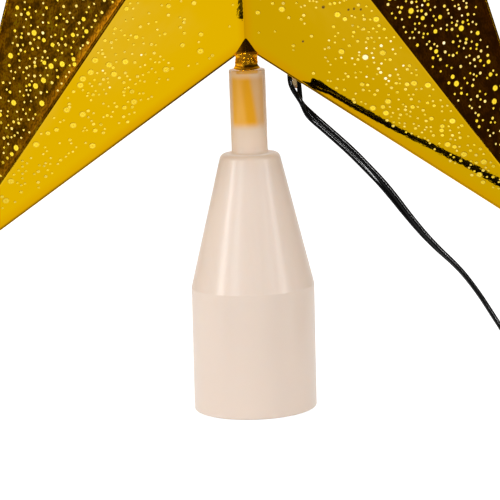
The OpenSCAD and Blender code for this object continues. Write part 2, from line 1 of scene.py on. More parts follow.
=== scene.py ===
"""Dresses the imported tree-topper star: a gold laser-cut star on a frosted push-on socket, with its flat lead.

Class fields are in millimetres and meshes in metres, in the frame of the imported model: +Z up, -Y to the
front, the socket's mouth on z = 0.
"""

from __future__ import annotations

import logging
import math
from collections.abc import Callable
from dataclasses import dataclass, field
from enum import Enum
from functools import partial

import bpy
import numpy as np
from mathutils import Matrix


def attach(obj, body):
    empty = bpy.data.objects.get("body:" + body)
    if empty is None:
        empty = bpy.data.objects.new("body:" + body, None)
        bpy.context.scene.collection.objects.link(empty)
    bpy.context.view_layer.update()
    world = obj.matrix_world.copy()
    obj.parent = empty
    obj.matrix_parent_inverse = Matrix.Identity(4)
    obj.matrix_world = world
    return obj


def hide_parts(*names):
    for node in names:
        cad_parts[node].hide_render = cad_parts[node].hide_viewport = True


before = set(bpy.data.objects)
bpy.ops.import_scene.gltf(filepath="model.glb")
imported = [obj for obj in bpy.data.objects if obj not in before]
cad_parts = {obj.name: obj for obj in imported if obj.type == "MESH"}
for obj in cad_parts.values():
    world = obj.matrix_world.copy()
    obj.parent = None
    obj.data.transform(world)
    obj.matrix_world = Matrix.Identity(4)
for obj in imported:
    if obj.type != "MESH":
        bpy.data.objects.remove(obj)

LOG = logging.getLogger("star_topper")
MM = 0.001
# Settings that many nodes share: a soft step, a mix of colours, a product
EASED = {"interpolation_type": "SMOOTHSTEP"}
COLOURS = {"data_type": "RGBA"}
TIMES = {"operation": "MULTIPLY"}
AddNode = Callable[..., bpy.types.Node]


class Side(Enum):
    """The half of the star that a shell makes; the value is the sign of its Y."""

    FRONT = -1
    REAR = 1


class Body(Enum):
    """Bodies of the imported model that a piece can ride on."""

    SOCKET = "socket"
    STAR = "star"


# Helpers for colours, nodes and meshes


def linear(code: str) -> tuple[float, float, float, float]:
    """Turns an sRGB hex colour to linear light.

    Args:
        code: The colour as "#RRGGBB".

    Returns:
        Linear red, green and blue, and an alpha of 1.
    """
    part = [int(code[i : i + 2], 16) / 255 for i in (1, 3, 5)]
    lin = [c / 12.92 if c <= 0.04045 else ((c + 0.055) / 1.055) ** 2.4 for c in part]
    return lin[0], lin[1], lin[2], 1.0


def add_node(
    tree: bpy.types.NodeTree, kind: str, inputs: dict | tuple = (), **settings: object
) -> bpy.types.Node:
    """Adds one shader node, sets its properties and fills or links its inputs.

    Args:
        tree: Node tree that takes the node.
        kind: Node type without the "ShaderNode" in front.
        inputs: Values in the order of the inputs, or by an input's name or number. A hex colour is turned
            to linear light, a socket is linked, and a node by its Fac, its mixed colour or its first output.
        **settings: Properties of the node itself.

    Returns:
        The new node.
    """
    node = tree.nodes.new("ShaderNode" + kind)
    for name, value in settings.items():
        setattr(node, name, value)
    for key, value in (inputs if isinstance(inputs, dict) else dict(enumerate(inputs))).items():
        if isinstance(value, bpy.types.Node):
            first = 2 if getattr(value, "data_type", "") == "RGBA" else 0
            value = value.outputs["Fac" if "Fac" in value.outputs else first]
        if isinstance(value, bpy.types.NodeSocket):
            tree.links.new(value, node.inputs[key])
        else:
            node.inputs[key].default_value = linear(value) if isinstance(value, str) else value
    return node


def start_material(name: str) -> tuple[bpy.types.Material, AddNode, bpy.types.NodeSocket]:
    """Starts a material on an empty tree.

    Args:
        name: Name of the material.

    Returns:
        The material, add_node for its tree, and Object coordinates.
    """
    material = bpy.data.materials.new(name)
    material.use_nodes = True
    material.node_tree.nodes.clear()
    add = partial(add_node, material.node_tree)
    return material, add, add("TexCoord").outputs["Object"]


def unit(v: np.ndarray) -> np.ndarray:
    """Scales each vector of the last axis to length 1."""
    return v / np.maximum(np.linalg.norm(v, axis=-1, keepdims=True), 1e-12)


def smooth(x: np.ndarray | float, low: float = 0.0, high: float = 1.0) -> np.ndarray:
    """Rises from 0 at low to 1 at high on the cubic 3c^2 - 2c^3."""
    c = np.clip((np.asarray(x, float) - low) / (high - low), 0, 1)
    return c * c * (3 - 2 * c)


def polar(r: float, degrees: float) -> np.ndarray:
    """Point of a plane at radius r and an angle in degrees."""
    return r * np.array([math.cos(math.radians(degrees)), math.sin(math.radians(degrees))])


def circle(radius: float, sides: int) -> np.ndarray:
    """Outline of a circle about the origin, anticlockwise."""
    a = np.arange(sides) * 2 * np.pi / sides
    return np.stack([np.cos(a), np.sin(a)], -1) * radius


def grid_faces(rows: int, columns: int, wrap: bool = True) -> np.ndarray:
    """Quads of a grid of points numbered row by row.

    Args:
        rows: Rows of points.
        columns: Points in each row.
        wrap: Joins the last column to the first.

    Returns:
        An array of faces with four point numbers each.
    """
    r = np.arange(rows - 1)[:, None]
    c = np.arange(columns if wrap else columns - 1)[None, :]
    d = (c + 1) % columns
    quads = np.stack([r * columns + c, r * columns + d, (r + 1) * columns + d, (r + 1) * columns + c], -1)
    return quads.reshape(-1, 4)


def ring_faces(rows: int, columns: int) -> list:
    """Quads of a grid whose last row joins the first, as its columns do."""
    return (grid_faces(rows + 1, columns) % (rows * columns)).tolist()


def tube_faces(rows: int, columns: int) -> list:
    """Quads of a tube of rings, and a face over each end."""
    ends = [list(range(columns))[::-1], [(rows - 1) * columns + i for i in range(columns)]]
    return [*grid_faces(rows, columns).tolist(), *ends]


def make_object(
    name: str,
    points: np.ndarray,
    faces: list,
    body: Body | None,
    material: bpy.types.Material,
    attributes: dict[str, np.ndarray] | None = None,
    shade_smooth: bool = True,
) -> bpy.types.Object:
    """Makes a mesh in the row frame and lets it ride on a body.

    Args:
        name: Name of the piece.
        points: Points in millimetres.
        faces: Faces as lists of point numbers.
        body: CAD body that carries the piece, or None for a piece of the stage.
        material: Finish of the whole piece.
        attributes: Numbers for each point, by attribute name.
        shade_smooth: Shades across the faces.

    Returns:
        The new object, at the origin.
    """
    mesh = bpy.data.meshes.new(name)
    mesh.from_pydata((points.reshape(-1, 3) * MM).tolist(), [], [[int(i) for i in f] for f in faces])
    for key, values in (attributes or {}).items():
        layer = mesh.attributes.new(key, "FLOAT", "POINT")
        layer.data.foreach_set("value", np.ascontiguousarray(values, np.float32).ravel())
    mesh.polygons.foreach_set("use_smooth", np.full(len(faces), shade_smooth))
    mesh.materials.append(material)
    mesh.update()
    obj = bpy.data.objects.new(name, mesh)
    bpy.context.scene.collection.objects.link(obj)
    if body:
        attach(obj, body.value)
    LOG.info("%s: %d points, %d faces, rides on %s", name, points.size // 3, len(faces), body)
    return obj


def turned(axes: list[np.ndarray], place: tuple[float, float, float]) -> Matrix:
    """Transform of an object that is turned to three directions.

    Args:
        axes: Directions of its X, Y and Z, each of length 1.
        place: Where its origin lies, in millimetres.

    Returns:
        The transform, in metres.
    """
    turn = Matrix(np.stack(axes, 1).tolist()).to_4x4()
    turn.translation = [v * MM for v in place]
    return turn


def sweep(centres: np.ndarray, wide: np.ndarray, section: np.ndarray) -> tuple[np.ndarray, list]:
    """Carries a section along a path and closes both ends.

    Each ring is centre + wide * a + thin * b, where wide is made square to the run and thin = run x wide.

    Args:
        centres: Points of the path, n x 3.
        wide: Direction of the section's first axis, one or n x 3.
        section: Outline of the section as (a, b), anticlockwise.

    Returns:
        Points as rings x outline x 3, and the faces.
    """
    run = unit(np.gradient(centres, axis=0))
    wide = unit(wide - run * np.sum(wide * run, -1, keepdims=True))
    thin = np.cross(run, wide)
    points = centres[:, None] + wide[:, None] * section[None, :, :1] + thin[:, None] * section[None, :, 1:]
    return points, tube_faces(*points.shape[:2])


def bezier(a: np.ndarray, b: np.ndarray, c: np.ndarray, d: np.ndarray, steps: int) -> np.ndarray:
    """Points of a cubic arc.

    Args:
        a: Where it starts.
        b: Handle at the start.
        c: Handle at the end.
        d: Where it ends.
        steps: Spans of the arc.

    Returns:
        One point more than there are spans.
    """
    t = np.linspace(0, 1, steps + 1)[:, None]
    s = 1 - t
    return s**3 * a + 3 * s * s * t * b + 3 * s * t * t * c + t**3 * d


def plane_waves(p: np.ndarray, lengths: tuple[float, ...], seed: int) -> np.ndarray:
    """Sum of plane waves, each as high as it is long, in seeded directions and phases.

    Args:
        p: Points in two dimensions, any shape ending in 2.
        lengths: Wavelengths in the units of p.
        seed: Seed of the directions and phases.

    Returns:
        The sum at each point, divided by the root of the number of waves.
    """
    rng = np.random.default_rng(seed)
    angle = rng.uniform(0, np.pi, len(lengths))
    phase = rng.uniform(0, 2 * np.pi, len(lengths))
    way = np.stack([np.cos(angle), np.sin(angle)], 0) * 2 * np.pi / np.array(lengths)
    total = np.zeros(p.shape[:-1])
    for i, length in enumerate(lengths):
        total += length * np.sin(p[..., 0] * way[0, i] + p[..., 1] * way[1, i] + phase[i])
    return total / math.sqrt(len(lengths))


def round_corners(corners: list, arc_steps: int = 9, support: float = 0.25) -> np.ndarray:
    """Rounds each corner of a closed outline and adds points near each arc's ends.

    At a corner with half angle h, an arc of radius r starts r / tan(h) away, centred r / sin(h) away.

    Args:
        corners: Rows of (x, y, radius).
        arc_steps: Spans in each arc.
        support: Distance of the extra points from an arc's ends.

    Returns:
        The points of the outline.
    """
    out = []
    p = np.array(corners, float)[:, :2]
    for i, (x, y, r) in enumerate(corners):
        b = np.array([x, y])
        u, v = unit(p[i - 1] - b), unit(p[(i + 1) % len(p)] - b)
        half = math.acos(float(np.clip(u @ v, -1, 1))) / 2
        centre = b + unit(u + v) * r / math.sin(half)
        start, end = b + u * r / math.tan(half), b + v * r / math.tan(half)
        (x0, y0), (x1, y1) = start - centre, end - centre
        t = np.linspace(0, math.atan2(x0 * y1 - y0 * x1, x0 * x1 + y0 * y1), arc_steps + 1)
        arc = np.stack([x0 * np.cos(t) - y0 * np.sin(t), x0 * np.sin(t) + y0 * np.cos(t)], -1)
        out += [start + u * support, *(centre + arc), end + v * support]
    return np.array(out)


# Finishes: each is named for the real material and how it was made


@dataclass(frozen=True)
class MetallisedGold:
    """Vacuum-metallised polystyrene under amber lacquer: a mirror with the moulding's faint orange peel."""

    colour: str = "#E8B70C"
    deep: str = "#D0A308"
    pale: str = "#E9BE34"
    thin_coat: str = "#D98C00"
    # Colour of the painted reflection band along ridges
    band_glow: str = "#DA8810"
    # Colour of the painted shade along moulded edges and valleys
    crease_shade: str = "#553A06"
    # Colour of the painted glow on lips, ridge crests and the weld
    glint: str = "#DDA410"
    edge: str = "#FFE9A0"
    roughness: float = 0.035
    peel_mm: float = 0.9
    peel_depth_mm: float = 0.010
    cloud_mm: float = 36.0
    blotch_mm: float = 3.2
    speck_mm: float = 0.6
    streak_mm: float = 2.2

    def ridge_glow(self, add: AddNode, speck: bpy.types.Node) -> bpy.types.Node:
        """Painted reflection along a ridge: a band of amber emission beside it.

        "ridge_mm" is the distance to the ridge and "bared" how strong that face's painted band is; a darker
        line with a faint painted highlight in its middle lies between the band and the ridge. The third
        attribute is painted glow that adds on its own.

        Args:
            add: Adds a node to the material.
            speck: Fine noise that breaks the band up.

        Returns:
            Node that holds the strength.
        """
        ridge, bared, painted_glow = (add("Attribute", attribute_name=key) for key in ("ridge_mm", "bared", "painted_glow"))
        rise = add("MapRange", (ridge, 0.62, 0.78), **EASED)
        reach = add("MapRange", (bared, 0.0, 1.0, 2.8, 2.1))
        past = add("Math", (ridge, reach), operation="DIVIDE")
        fall = add("MapRange", (past, 0.35, 1.0, 1.0, 0.0))
        band = add("Math", (rise, fall), **TIMES)
        offset = add("Math", (ridge, 0.36), operation="SUBTRACT")
        away = add("Math", (offset,), operation="ABSOLUTE")
        thread = add("MapRange", (away, 0.0, 0.12, 0.34, 0.0))
        both = add("Math", (band, thread), operation="ADD")
        broken = add("MapRange", (speck, 0.35, 0.65, 0.35, 1.2))
        grey = add("Math", (both, broken), **TIMES)
        light = add("Math", (grey, bared), **TIMES)
        return add("Math", (light, painted_glow), operation="ADD")

    def make(self, name: str) -> bpy.types.Material:
        """Builds the material.

        Attributes are "rim_mm", the distance to a moulded edge, "lacquer", each face's depth of coat,
        "mottle", how uneven its metal is, and "bright_fold", how little the painted shade in its folds darkens
        it.

        Args:
            name: Name of the material.

        Returns:
            The material.
        """
        material, add, where = start_material(name)
        keys = ("rim_mm", "lacquer", "mottle", "bright_fold", "painted_glow")
        rim, lacquer, mottle, bright, painted_glow = (add("Attribute", attribute_name=key) for key in keys)
        sizes = ((self.blotch_mm, 4.0), (self.speck_mm, 2.0), (self.peel_mm, 1.0), (self.cloud_mm, 2.0))
        blotch, speck, peel, cloud = (
            add("TexNoise", {"Vector": where, "Scale": 1 / (size * MM), "Detail": detail})
            for size, detail in sizes
        )
        drawn = add("Mapping", {"Vector": where, "Scale": (1.0, 1.0, 0.08)})
        streak = add("TexNoise", {"Vector": drawn, "Scale": 1 / (self.streak_mm * MM), "Detail": 1.0})
        bump = add("Bump", {"Height": peel, "Distance": self.peel_depth_mm * MM})
        near = add("MapRange", (rim, 0.0, 3.2, 0.8, 0.0), **EASED)
        thin = add("Math", (near, cloud), **TIMES)
        tone = add("Mix", {0: lacquer, 6: self.colour, 7: self.deep}, **COLOURS)
        veiled = add("MapRange", (cloud, 0.36, 0.6, 0.0, 0.75), **EASED)
        thread = add("MapRange", (streak, 0.35, 0.65, 0.7, 1.0))
        inland = add("MapRange", (rim, 5.0, 20.0, 0.0, 1.0), **EASED)
        clear = add("MapRange", (lacquer, 0.0, 1.0, 1.0, 0.25))
        for share in (thread, inland, clear):
            veiled = add("Math", (veiled, share), **TIMES)
        milky = add("Mix", {0: veiled, 6: tone, 7: self.pale}, **COLOURS)
        worn = add("Mix", {0: thin, 6: milky, 7: self.thin_coat}, **COLOURS)
        # Painted shade: within 0.75 mm of a moulded edge or a valley the coat darkens towards the shade colour
        fold = add("MapRange", (rim, 0.1, 0.75, 0.9, 0.0), **EASED)
        kept = add("MapRange", (bright, 0.0, 1.0, 1.0, 0.0))
        shaded_crease = add("Math", (fold, kept), **TIMES)
        coat = add("Mix", {0: shaded_crease, 6: worn, 7: self.crease_shade}, **COLOURS)
        patch = add("MapRange", (blotch, 0.38, 0.64, 0.3, 1.6))
        fleck = add("MapRange", (speck, 0.34, 0.66, 0.4, 1.7))
        uneven = add("Math", (patch, fleck), **TIMES)
        level = add("Mix", {0: mottle, 2: 1.0, 3: uneven})
        metal = add("VectorMath", {0: coat, "Scale": level}, operation="SCALE")
        gloss = add("MapRange", (cloud, 0.0, 1.0, self.roughness * 0.6, self.roughness * 1.4))
        rough = add("Math", (shaded_crease, 0.4, gloss), operation="MULTIPLY_ADD")
        # Painted reflection along ridges and painted glow, both as emission
        through = self.ridge_glow(add, speck)
        share = add("Math", (painted_glow, 8.0), use_clamp=True, **TIMES)
        light = add("Mix", {0: share, 6: self.band_glow, 7: self.glint}, **COLOURS)
        inputs = {
            "Base Color": metal,
            "Metallic": 1.0,
            "Roughness": rough,
            "Specular Tint": self.edge,
            "Normal": bump,
            "Emission Color": light,
            "Emission Strength": through,
        }
        add("OutputMaterial", {"Surface": add("BsdfPrincipled", inputs)})
        return material


@dataclass(frozen=True)
class LaserBaredAmber:
    """Amber polystyrene where a laser has burned the metal off: matt, lit from behind, with a soft rim."""

    rim: str = "#FFDE30"
    middle: str = "#F3C41C"
    hot: str = "#FFF3C4"
    blocked: str = "#7A5800"
    glow: float = 0.36
    gold: MetallisedGold = MetallisedGold()

    def make(self, name: str) -> bpy.types.Material:
        """Builds the material.

        Attributes are "spoke", 0 at a dot's middle and 1 at its rim, "light_level", "paleness", which small
        dots have, and "lacquer" as on the metal, which comes back towards the rim.

        Args:
            name: Name of the material.

        Returns:
            The material.
        """
        material, add, _ = start_material(name)
        keys = ("spoke", "light_level", "paleness", "lacquer")
        spoke, heat, pale, lacquer = (add("Attribute", attribute_name=key) for key in keys)
        bowl = add("MapRange", (spoke, 0.1, 0.45), **EASED)
        amber = add("Mix", {0: bowl, 6: self.middle, 7: self.rim}, **COLOURS)
        glare = add("MapRange", (heat, 0.55, 1.0))
        glare = add("Math", (glare, pale), operation="ADD", use_clamp=True)
        bright = add("Mix", {0: glare, 6: amber, 7: self.hot}, **COLOURS)
        shade = add("MapRange", (heat, 0.0, 0.08, 1.0, 0.0))
        colour = add("Mix", {0: shade, 6: bright, 7: self.blocked}, **COLOURS)
        power = add("MapRange", (heat, 0.0, 1.0, 0.0, self.glow * 2))
        tone = add("Mix", {0: lacquer, 6: self.gold.colour, 7: self.gold.deep}, **COLOURS)
        metal = add("MapRange", (spoke, 0.58, 1.0), **EASED)
        surface = add("Mix", {0: metal, 6: colour, 7: tone}, **COLOURS)
        rough = add("MapRange", (metal, 0.0, 1.0, 0.6, self.gold.roughness))
        kept = add("MapRange", (metal, 0.0, 1.0, 1.0, 0.0))
        inputs = {
            "Base Color": surface,
            "Metallic": metal,
            "Roughness": rough,
            "Specular IOR Level": 0.15,
            "Emission Color": colour,
            "Emission Strength": add("Math", (power, kept), **TIMES),
        }
        add("OutputMaterial", {"Surface": add("BsdfPrincipled", inputs)})
        return material


@dataclass(frozen=True)
class FrostedPolypropylene:
    """Injection-moulded natural polypropylene: milky, with soft highlights and light spread inside it."""

    colour: str = "#EBD8C9"
    warm: str = "#E6CDB4"
    # The peg's colours painted behind the neck: its lit left side, its bright band, its shaded right side, and
    # the weld at the rim
    peg_left: str = "#F0B03C"
    peg_band: str = "#E8A202"
    peg_right: str = "#DCAC70"
    peg_rim: str = "#D99A14"
    # Strength of a painted glow, low on the skirt and higher on the neck, that brightens the neck in the star's
    # shade
    inner_light: tuple[float, float] = (0.04, 0.165)
    roughness: float = 0.3
    spread_mm: float = 2.0
    grain_mm: float = 0.9
    peg_from: float = 70.0
    peg_to: float = 83.3
    neck_r: float = 4.42
    shoulder_z: float = 63.1

    def peg_behind(self, add: AddNode, x: bpy.types.NodeSocket, z: bpy.types.NodeSocket) -> bpy.types.Node:
        """Colour of the wall, with the gold peg painted in where it shows dimly through the neck.

        Args:
            add: Adds a node to the material.
            x: Object coordinate across the socket.
            z: Object coordinate up it.

        Returns:
            Node that holds the colour.
        """
        foot = add("MapRange", (z, (self.peg_from - 1.2) * MM, (self.peg_from + 1.2) * MM), **EASED)
        rim = add("MapRange", (z, (self.peg_to - 2.4) * MM, (self.peg_to - 0.8) * MM, 1.0, 0.5), **EASED)
        aside = add("Math", (x,), operation="ABSOLUTE")
        thin = [(self.neck_r - inside) * MM for inside in (1.1, 0.3)]
        wall = add("MapRange", (aside, *thin, 1.0, 0.25), **EASED)
        over = add("Math", (foot, rim), **TIMES)
        reach = add("Math", (over, wall), **TIMES)
        low = add("MapRange", (z, (self.peg_from - 12) * MM, self.peg_from * MM), **EASED)
        milk = add("Mix", {0: low, 6: self.colour, 7: self.warm}, **COLOURS)
        # Painted shading on the peg: lighter on its left and darker on its right, with a slanting bright band
        # between
        lean = add("MapRange", (z, self.peg_from * MM, self.peg_to * MM, 0.9 * MM, -0.9 * MM))
        across = add("Math", (x, lean), operation="SUBTRACT")
        side = add("MapRange", (across, -0.4 * MM, 1.8 * MM), **EASED)
        ends = add("Mix", {0: side, 6: self.peg_left, 7: self.peg_right}, **COLOURS)
        away = add("Math", (across,), operation="ABSOLUTE")
        band = add("MapRange", (away, 0.5 * MM, 2.1 * MM, 1.0, 0.0), **EASED)
        peg = add("Mix", {0: band, 6: ends, 7: self.peg_band}, **COLOURS)
        through = add("Mix", {0: reach, 6: milk, 7: peg}, **COLOURS)
        top = add("MapRange", (z, (self.peg_to - 0.75) * MM, (self.peg_to - 0.45) * MM))
        weld = add("MapRange", (aside, 2.3 * MM, 2.9 * MM, 0.85, 0.0), **EASED)
        crown = add("Math", (top, weld), **TIMES)
        return add("Mix", {0: crown, 6: through, 7: self.peg_rim}, **COLOURS)

    def make(self, name: str) -> bpy.types.Material:
        """Builds the material.

        Args:
            name: Name of the material.

        Returns:
            The material.
        """
        material, add, where = start_material(name)
        x, _, z = add("SeparateXYZ", (where,)).outputs
        seen = self.peg_behind(add, x, z)
        grain = add("TexNoise", {"Vector": where, "Scale": 1 / (self.grain_mm * MM), "Detail": 2.0})
        low, high = (self.shoulder_z - 4) * MM, (self.shoulder_z + 4) * MM
        inputs = {
            "Base Color": seen,
            "Emission Color": seen,
            # Painted glow in the wall's own colour
            "Emission Strength": add("MapRange", (z, low, high, *self.inner_light), **EASED),
            "Roughness": add("MapRange", (grain, 0.0, 1.0, self.roughness - 0.04, self.roughness + 0.04)),
            "IOR": 1.49,
            "Subsurface Weight": 0.25,
            "Subsurface Radius": (1.0, 0.7, 0.5),
            "Subsurface Scale": self.spread_mm * MM,
            "Normal": add("Bump", {"Height": grain, "Distance": 0.004 * MM, "Strength": 0.6}),
        }
        add("OutputMaterial", {"Surface": add("BsdfPrincipled", inputs)})
        return material


@dataclass(frozen=True)
class Moulded:
    """A moulded, plated or sintered solid: one colour that clouds into a second, and a fine surface grain."""

    colour: str
    second: str
    roughness: float
    grain_mm: float
    depth_mm: float = 0.01
    metallic: float = 0.0
    glow: float = 0.0
    clear: float = 0.0
    ior: float = 1.5
    coat: float = 0.0
    gloss: float = 0.5

    def make(self, name: str) -> bpy.types.Material:
        """Builds the material.

        Args:
            name: Name of the material.

        Returns:
            The material.
        """
        material, add, where = start_material(name)
        grain = add("TexNoise", {"Vector": where, "Scale": 1 / (self.grain_mm * MM), "Detail": 3.0})
        cloud = add("TexNoise", {"Vector": where, "Scale": 1 / (self.grain_mm * 9 * MM), "Detail": 2.0})
        inputs = {
            "Base Color": add("Mix", {0: cloud, 6: self.colour, 7: self.second}, **COLOURS),
            "Metallic": self.metallic,
            "Roughness": add("MapRange", (grain, 0.0, 1.0, self.roughness * 0.8, self.roughness * 1.2)),
            "Normal": add("Bump", {"Height": grain, "Distance": self.depth_mm * MM}),
            "Transmission Weight": self.clear,
            "Coat Weight": self.coat,
            "Specular IOR Level": self.gloss,
        }
        if self.metallic == 0:
            inputs["IOR"] = self.ior
        if self.glow:
            inputs |= {"Emission Color": self.colour, "Emission Strength": self.glow}
        add("OutputMaterial", {"Surface": add("BsdfPrincipled", inputs)})
        return material


# The same gold roughened by the weld, so it mirrors in a blurred way; it goes dark where painted shade turns
# it to its near-black crease colour, and glows in its glint colour where painted glow is added
WELD_GOLD = MetallisedGold(
    "#F5B81E",
    "#DC9A10",
    thin_coat="#E09410",
    crease_shade="#1A0800",
    glint="#E8A018",
    roughness=0.24,
    peel_depth_mm=0.004,
)
# Extruded flexible PVC: black and glossy, with faint drawing marks
CORD_PVC = Moulded("#040404", "#070606", 0.16, 1.6, 0.0008, ior=1.45, gloss=0.13)
# Ethylene-vinyl acetate hot glue: half clear, browned by heat, wet-looking
HOT_GLUE = Moulded("#CDB48A", "#A88C5E", 0.14, 1.6, 0.01, clear=0.7, ior=1.48)
# Paper-backed plastic twist tie, black and dull
TIE_PVC = Moulded("#141414", "#1E1D1C", 0.5, 0.3, 0.02)
# Unplated amber polystyrene of the shells' inner works, clean and half glossy
AMBER_PS = Moulded("#D8A21A", "#C58F10", 0.3, 2.0)
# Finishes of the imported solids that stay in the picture, by node, each with its material's name
NODE_FINISHES = {
    # Off-white and satin from the mould
    "lamp_holders": (Moulded("#D9D4C8", "#CCC6B8", 0.45, 0.4), "Off-white ABS"),
    # Clear and wet-looking over a warm-white die
    "led_lenses": (Moulded("#FFE2A0", "#FFD98A", 0.12, 0.8, 0.004, glow=2.0, ior=1.52), "Cast epoxy lens"),
    # Tin over copper-clad steel, a soft grey mirror
    "led_leads": (Moulded("#BFBEBA", "#A9A8A4", 0.3, 0.3, 0.003, metallic=1.0), "Tinned lamp leads"),
    # Soft, dull black
    "plug_relief": (Moulded("#0E0E0F", "#151516", 0.42, 0.5, 0.015), "Soft PVC boot"),
    # Black with a fine spark-eroded grain
    "plug_grip": (Moulded("#111112", "#18181A", 0.5, 0.35, 0.02), "Grained black ABS"),
    # Pressed and plated, a warm grey mirror
    "plug_shell": (Moulded("#C9C8C4", "#B4B3AF", 0.24, 0.6, 0.004, metallic=1.0), "Nickel-plated steel"),
    # Milky white, satin
    "plug_insert": (Moulded("#E4E2DC", "#D9D6CE", 0.4, 0.5), "White nylon"),
    # A thin bright flash of gold
    "plug_contacts": (Moulded("#D9B25A", "#C89C40", 0.2, 0.4, 0.002, metallic=1.0), "Gold-flashed brass"),
    # Green solder mask with a clear coat
    "plug_board": (Moulded("#1F5C38", "#17492C", 0.35, 0.3, coat=0.3), "Glass-epoxy board"),
    # Sintered, matt and nearly black
    "plug_resistor": (Moulded("#1B1B1D", "#26262A", 0.55, 0.15), "Thick-film resistor"),
}


# The lead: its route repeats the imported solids' route


@dataclass
class FlatLead:
    """The flat twin cord, with its coil and the short tail at the plug."""

    cord_w: float = 2.4
    wire_d: float = 1.2
    web: float = 0.3
    twist: float = 84.0
    steps: int = 6
    coil_centre: tuple[float, float] = (88.0, -16.0)
    coil_out_r: float = 16.7
    coil_in_r: float = 9.7
    coil_loops: int = 4
    coil_layers: int = 4
    turn_pitch: float = 1.75
    layer_pitch: float = 2.95
    coil_base_z: float = 2.4
    coil_steps: int = 32
    plug_start: tuple[float, float, float] = (105.1375, 1.4, 4.0)
    tail_bow: float = 7.5
    tail_steps: int = 24
    length: float = 1500.0
    exit_point: tuple[float, float, float] = (11.2, 0.0, 80.8)
    route: np.ndarray = field(
        default_factory=lambda: np.array(
            [
                [11.5, 0, 78], [12.7, 0, 75.2], [14.8, 0, 71.9], [18.4, 0, 68.4], [22.1, 0, 64.9],
                [25.3, 0, 61.7], [28.5, 0, 58.2], [31.6, 0, 54.7], [34.5, 0, 51], [37.2, 0, 47.3],
                [39.7, 0, 44], [42.3, 0, 40.8], [45.4, 0, 37.4], [48.6, 0, 34.2], [51.4, 0, 31],
                [54.2, 0, 27.1], [56.3, 0, 23.8], [59, -0.5, 19.3], [62, -2, 14.5],
                [66, -6, 9.5], [70, -12.5, 5.5], [74, -20.5, 3.2], [78.5, -28, 2.3],
                [85.6, -32.7, 2.4], [88, -32.7, 2.4],
            ],
            float,
        )
    )  # fmt: skip

    def fork_direction(self) -> np.ndarray:
        """Direction in which the two wires run where they join."""
        return unit(self.route[2] - self.route[0])

    def lead_path(self) -> tuple[np.ndarray, np.ndarray]:
        """Free stretch: a smooth curve through the route, that starts edge on, turns flat and edge on again.

        Between points b and c of a, b, c, d it is half of 2b + (c-a)t + (2a-5b+4c-d)t^2 + (3b-a-3c+d)t^3.

        Returns:
            Points, and the direction of the cord's wide side at each.
        """
        p = self.route
        t = (np.arange(self.steps) / self.steps)[None, :, None]
        a, b, c, d = (p[i : len(p) - 3 + i, None] for i in range(4))
        bend, twist = 2 * a - 5 * b + 4 * c - d, 3 * b - a - 3 * c + d
        inner = (2 * b + (c - a) * t + bend * t**2 + twist * t**3) / 2
        line = np.concatenate([inner.reshape(-1, 3), p[-2:-1]])
        run = unit(np.gradient(line, axis=0))
        run[0], run[-1] = self.fork_direction(), (1, 0, 0)
        flat = unit(np.cross(run, (0.0, 1.0, 0.0)))
        s = np.concatenate([[0], np.cumsum(np.linalg.norm(np.diff(line, axis=0), axis=1))])
        s /= s[-1]
        turn = self.twist * smooth(s, 0.1, 0.55) * (1 - smooth(s, 0.62, 1)) - 90 * (1 - smooth(s, 0, 0.05))
        turn = np.radians(turn)[:, None]
        return line, flat * np.cos(turn) + np.cross(run, flat) * np.sin(turn)

    def coil_path(self) -> tuple[np.ndarray, np.ndarray]:
        """Coil: layers that spiral in and out, with a half turn's climb where the spiral turns back.

        Returns:
            Points, and the direction of the cord's wide side, which stands on edge.
        """
        turns = self.coil_layers * self.coil_loops + 0.25
        t = np.linspace(0, turns, round(turns * self.coil_steps) + 1)
        layer = np.minimum(t // self.coil_loops, self.coil_layers - 1)
        inward = self.turn_pitch * (t - layer * self.coil_loops)
        radius = np.where(layer % 2 == 0, self.coil_out_r - inward, self.coil_in_r + inward)
        climbs = [smooth(2 * (t - k * self.coil_loops) + 0.5) for k in range(1, self.coil_layers)]
        angle = 2 * np.pi * t - np.pi / 2
        x = self.coil_centre[0] + radius * np.cos(angle)
        y = self.coil_centre[1] + radius * np.sin(angle)
        line = np.stack([x, y, self.coil_base_z + self.layer_pitch * sum(climbs)], -1)
        return line, np.tile((0.0, 0.0, 1.0), (len(line), 1))

    def tail_path(self, start: np.ndarray) -> tuple[np.ndarray, np.ndarray]:
        """Tail: one cubic arc from the coil down into the plug's boot, with a quarter turn.

        Args:
            start: Where the coil ends.

        Returns:
            Points, and the direction of the cord's wide side.
        """
        bow = np.array([0, self.tail_bow, 0])
        end = np.array(self.plug_start)
        line = bezier(start, start + bow, end - bow, end + (0, 1.5, 0), self.tail_steps)
        run = unit(np.gradient(line, axis=0))
        flat = unit(np.cross(run, (1.0, 0.0, 0.0)))
        turn = np.linspace(0, np.pi / 2, len(line))[:, None]
        return line, -(flat * np.cos(turn) + np.cross(run, flat) * np.sin(turn))

    def twin_section(self) -> np.ndarray:
        """Outline of the flat cord: two round lobes, joined by a thin web with a groove on each face.

        Returns:
            Points (across, through) in millimetres.
        """
        r = self.wire_d / 2
        open_angle = math.asin(self.web / r)
        a = np.linspace(-np.pi + open_angle, np.pi - open_angle, 11)
        lobe = np.stack([r + r * np.cos(a), r * np.sin(a)], -1)
        return np.concatenate([lobe, -lobe])

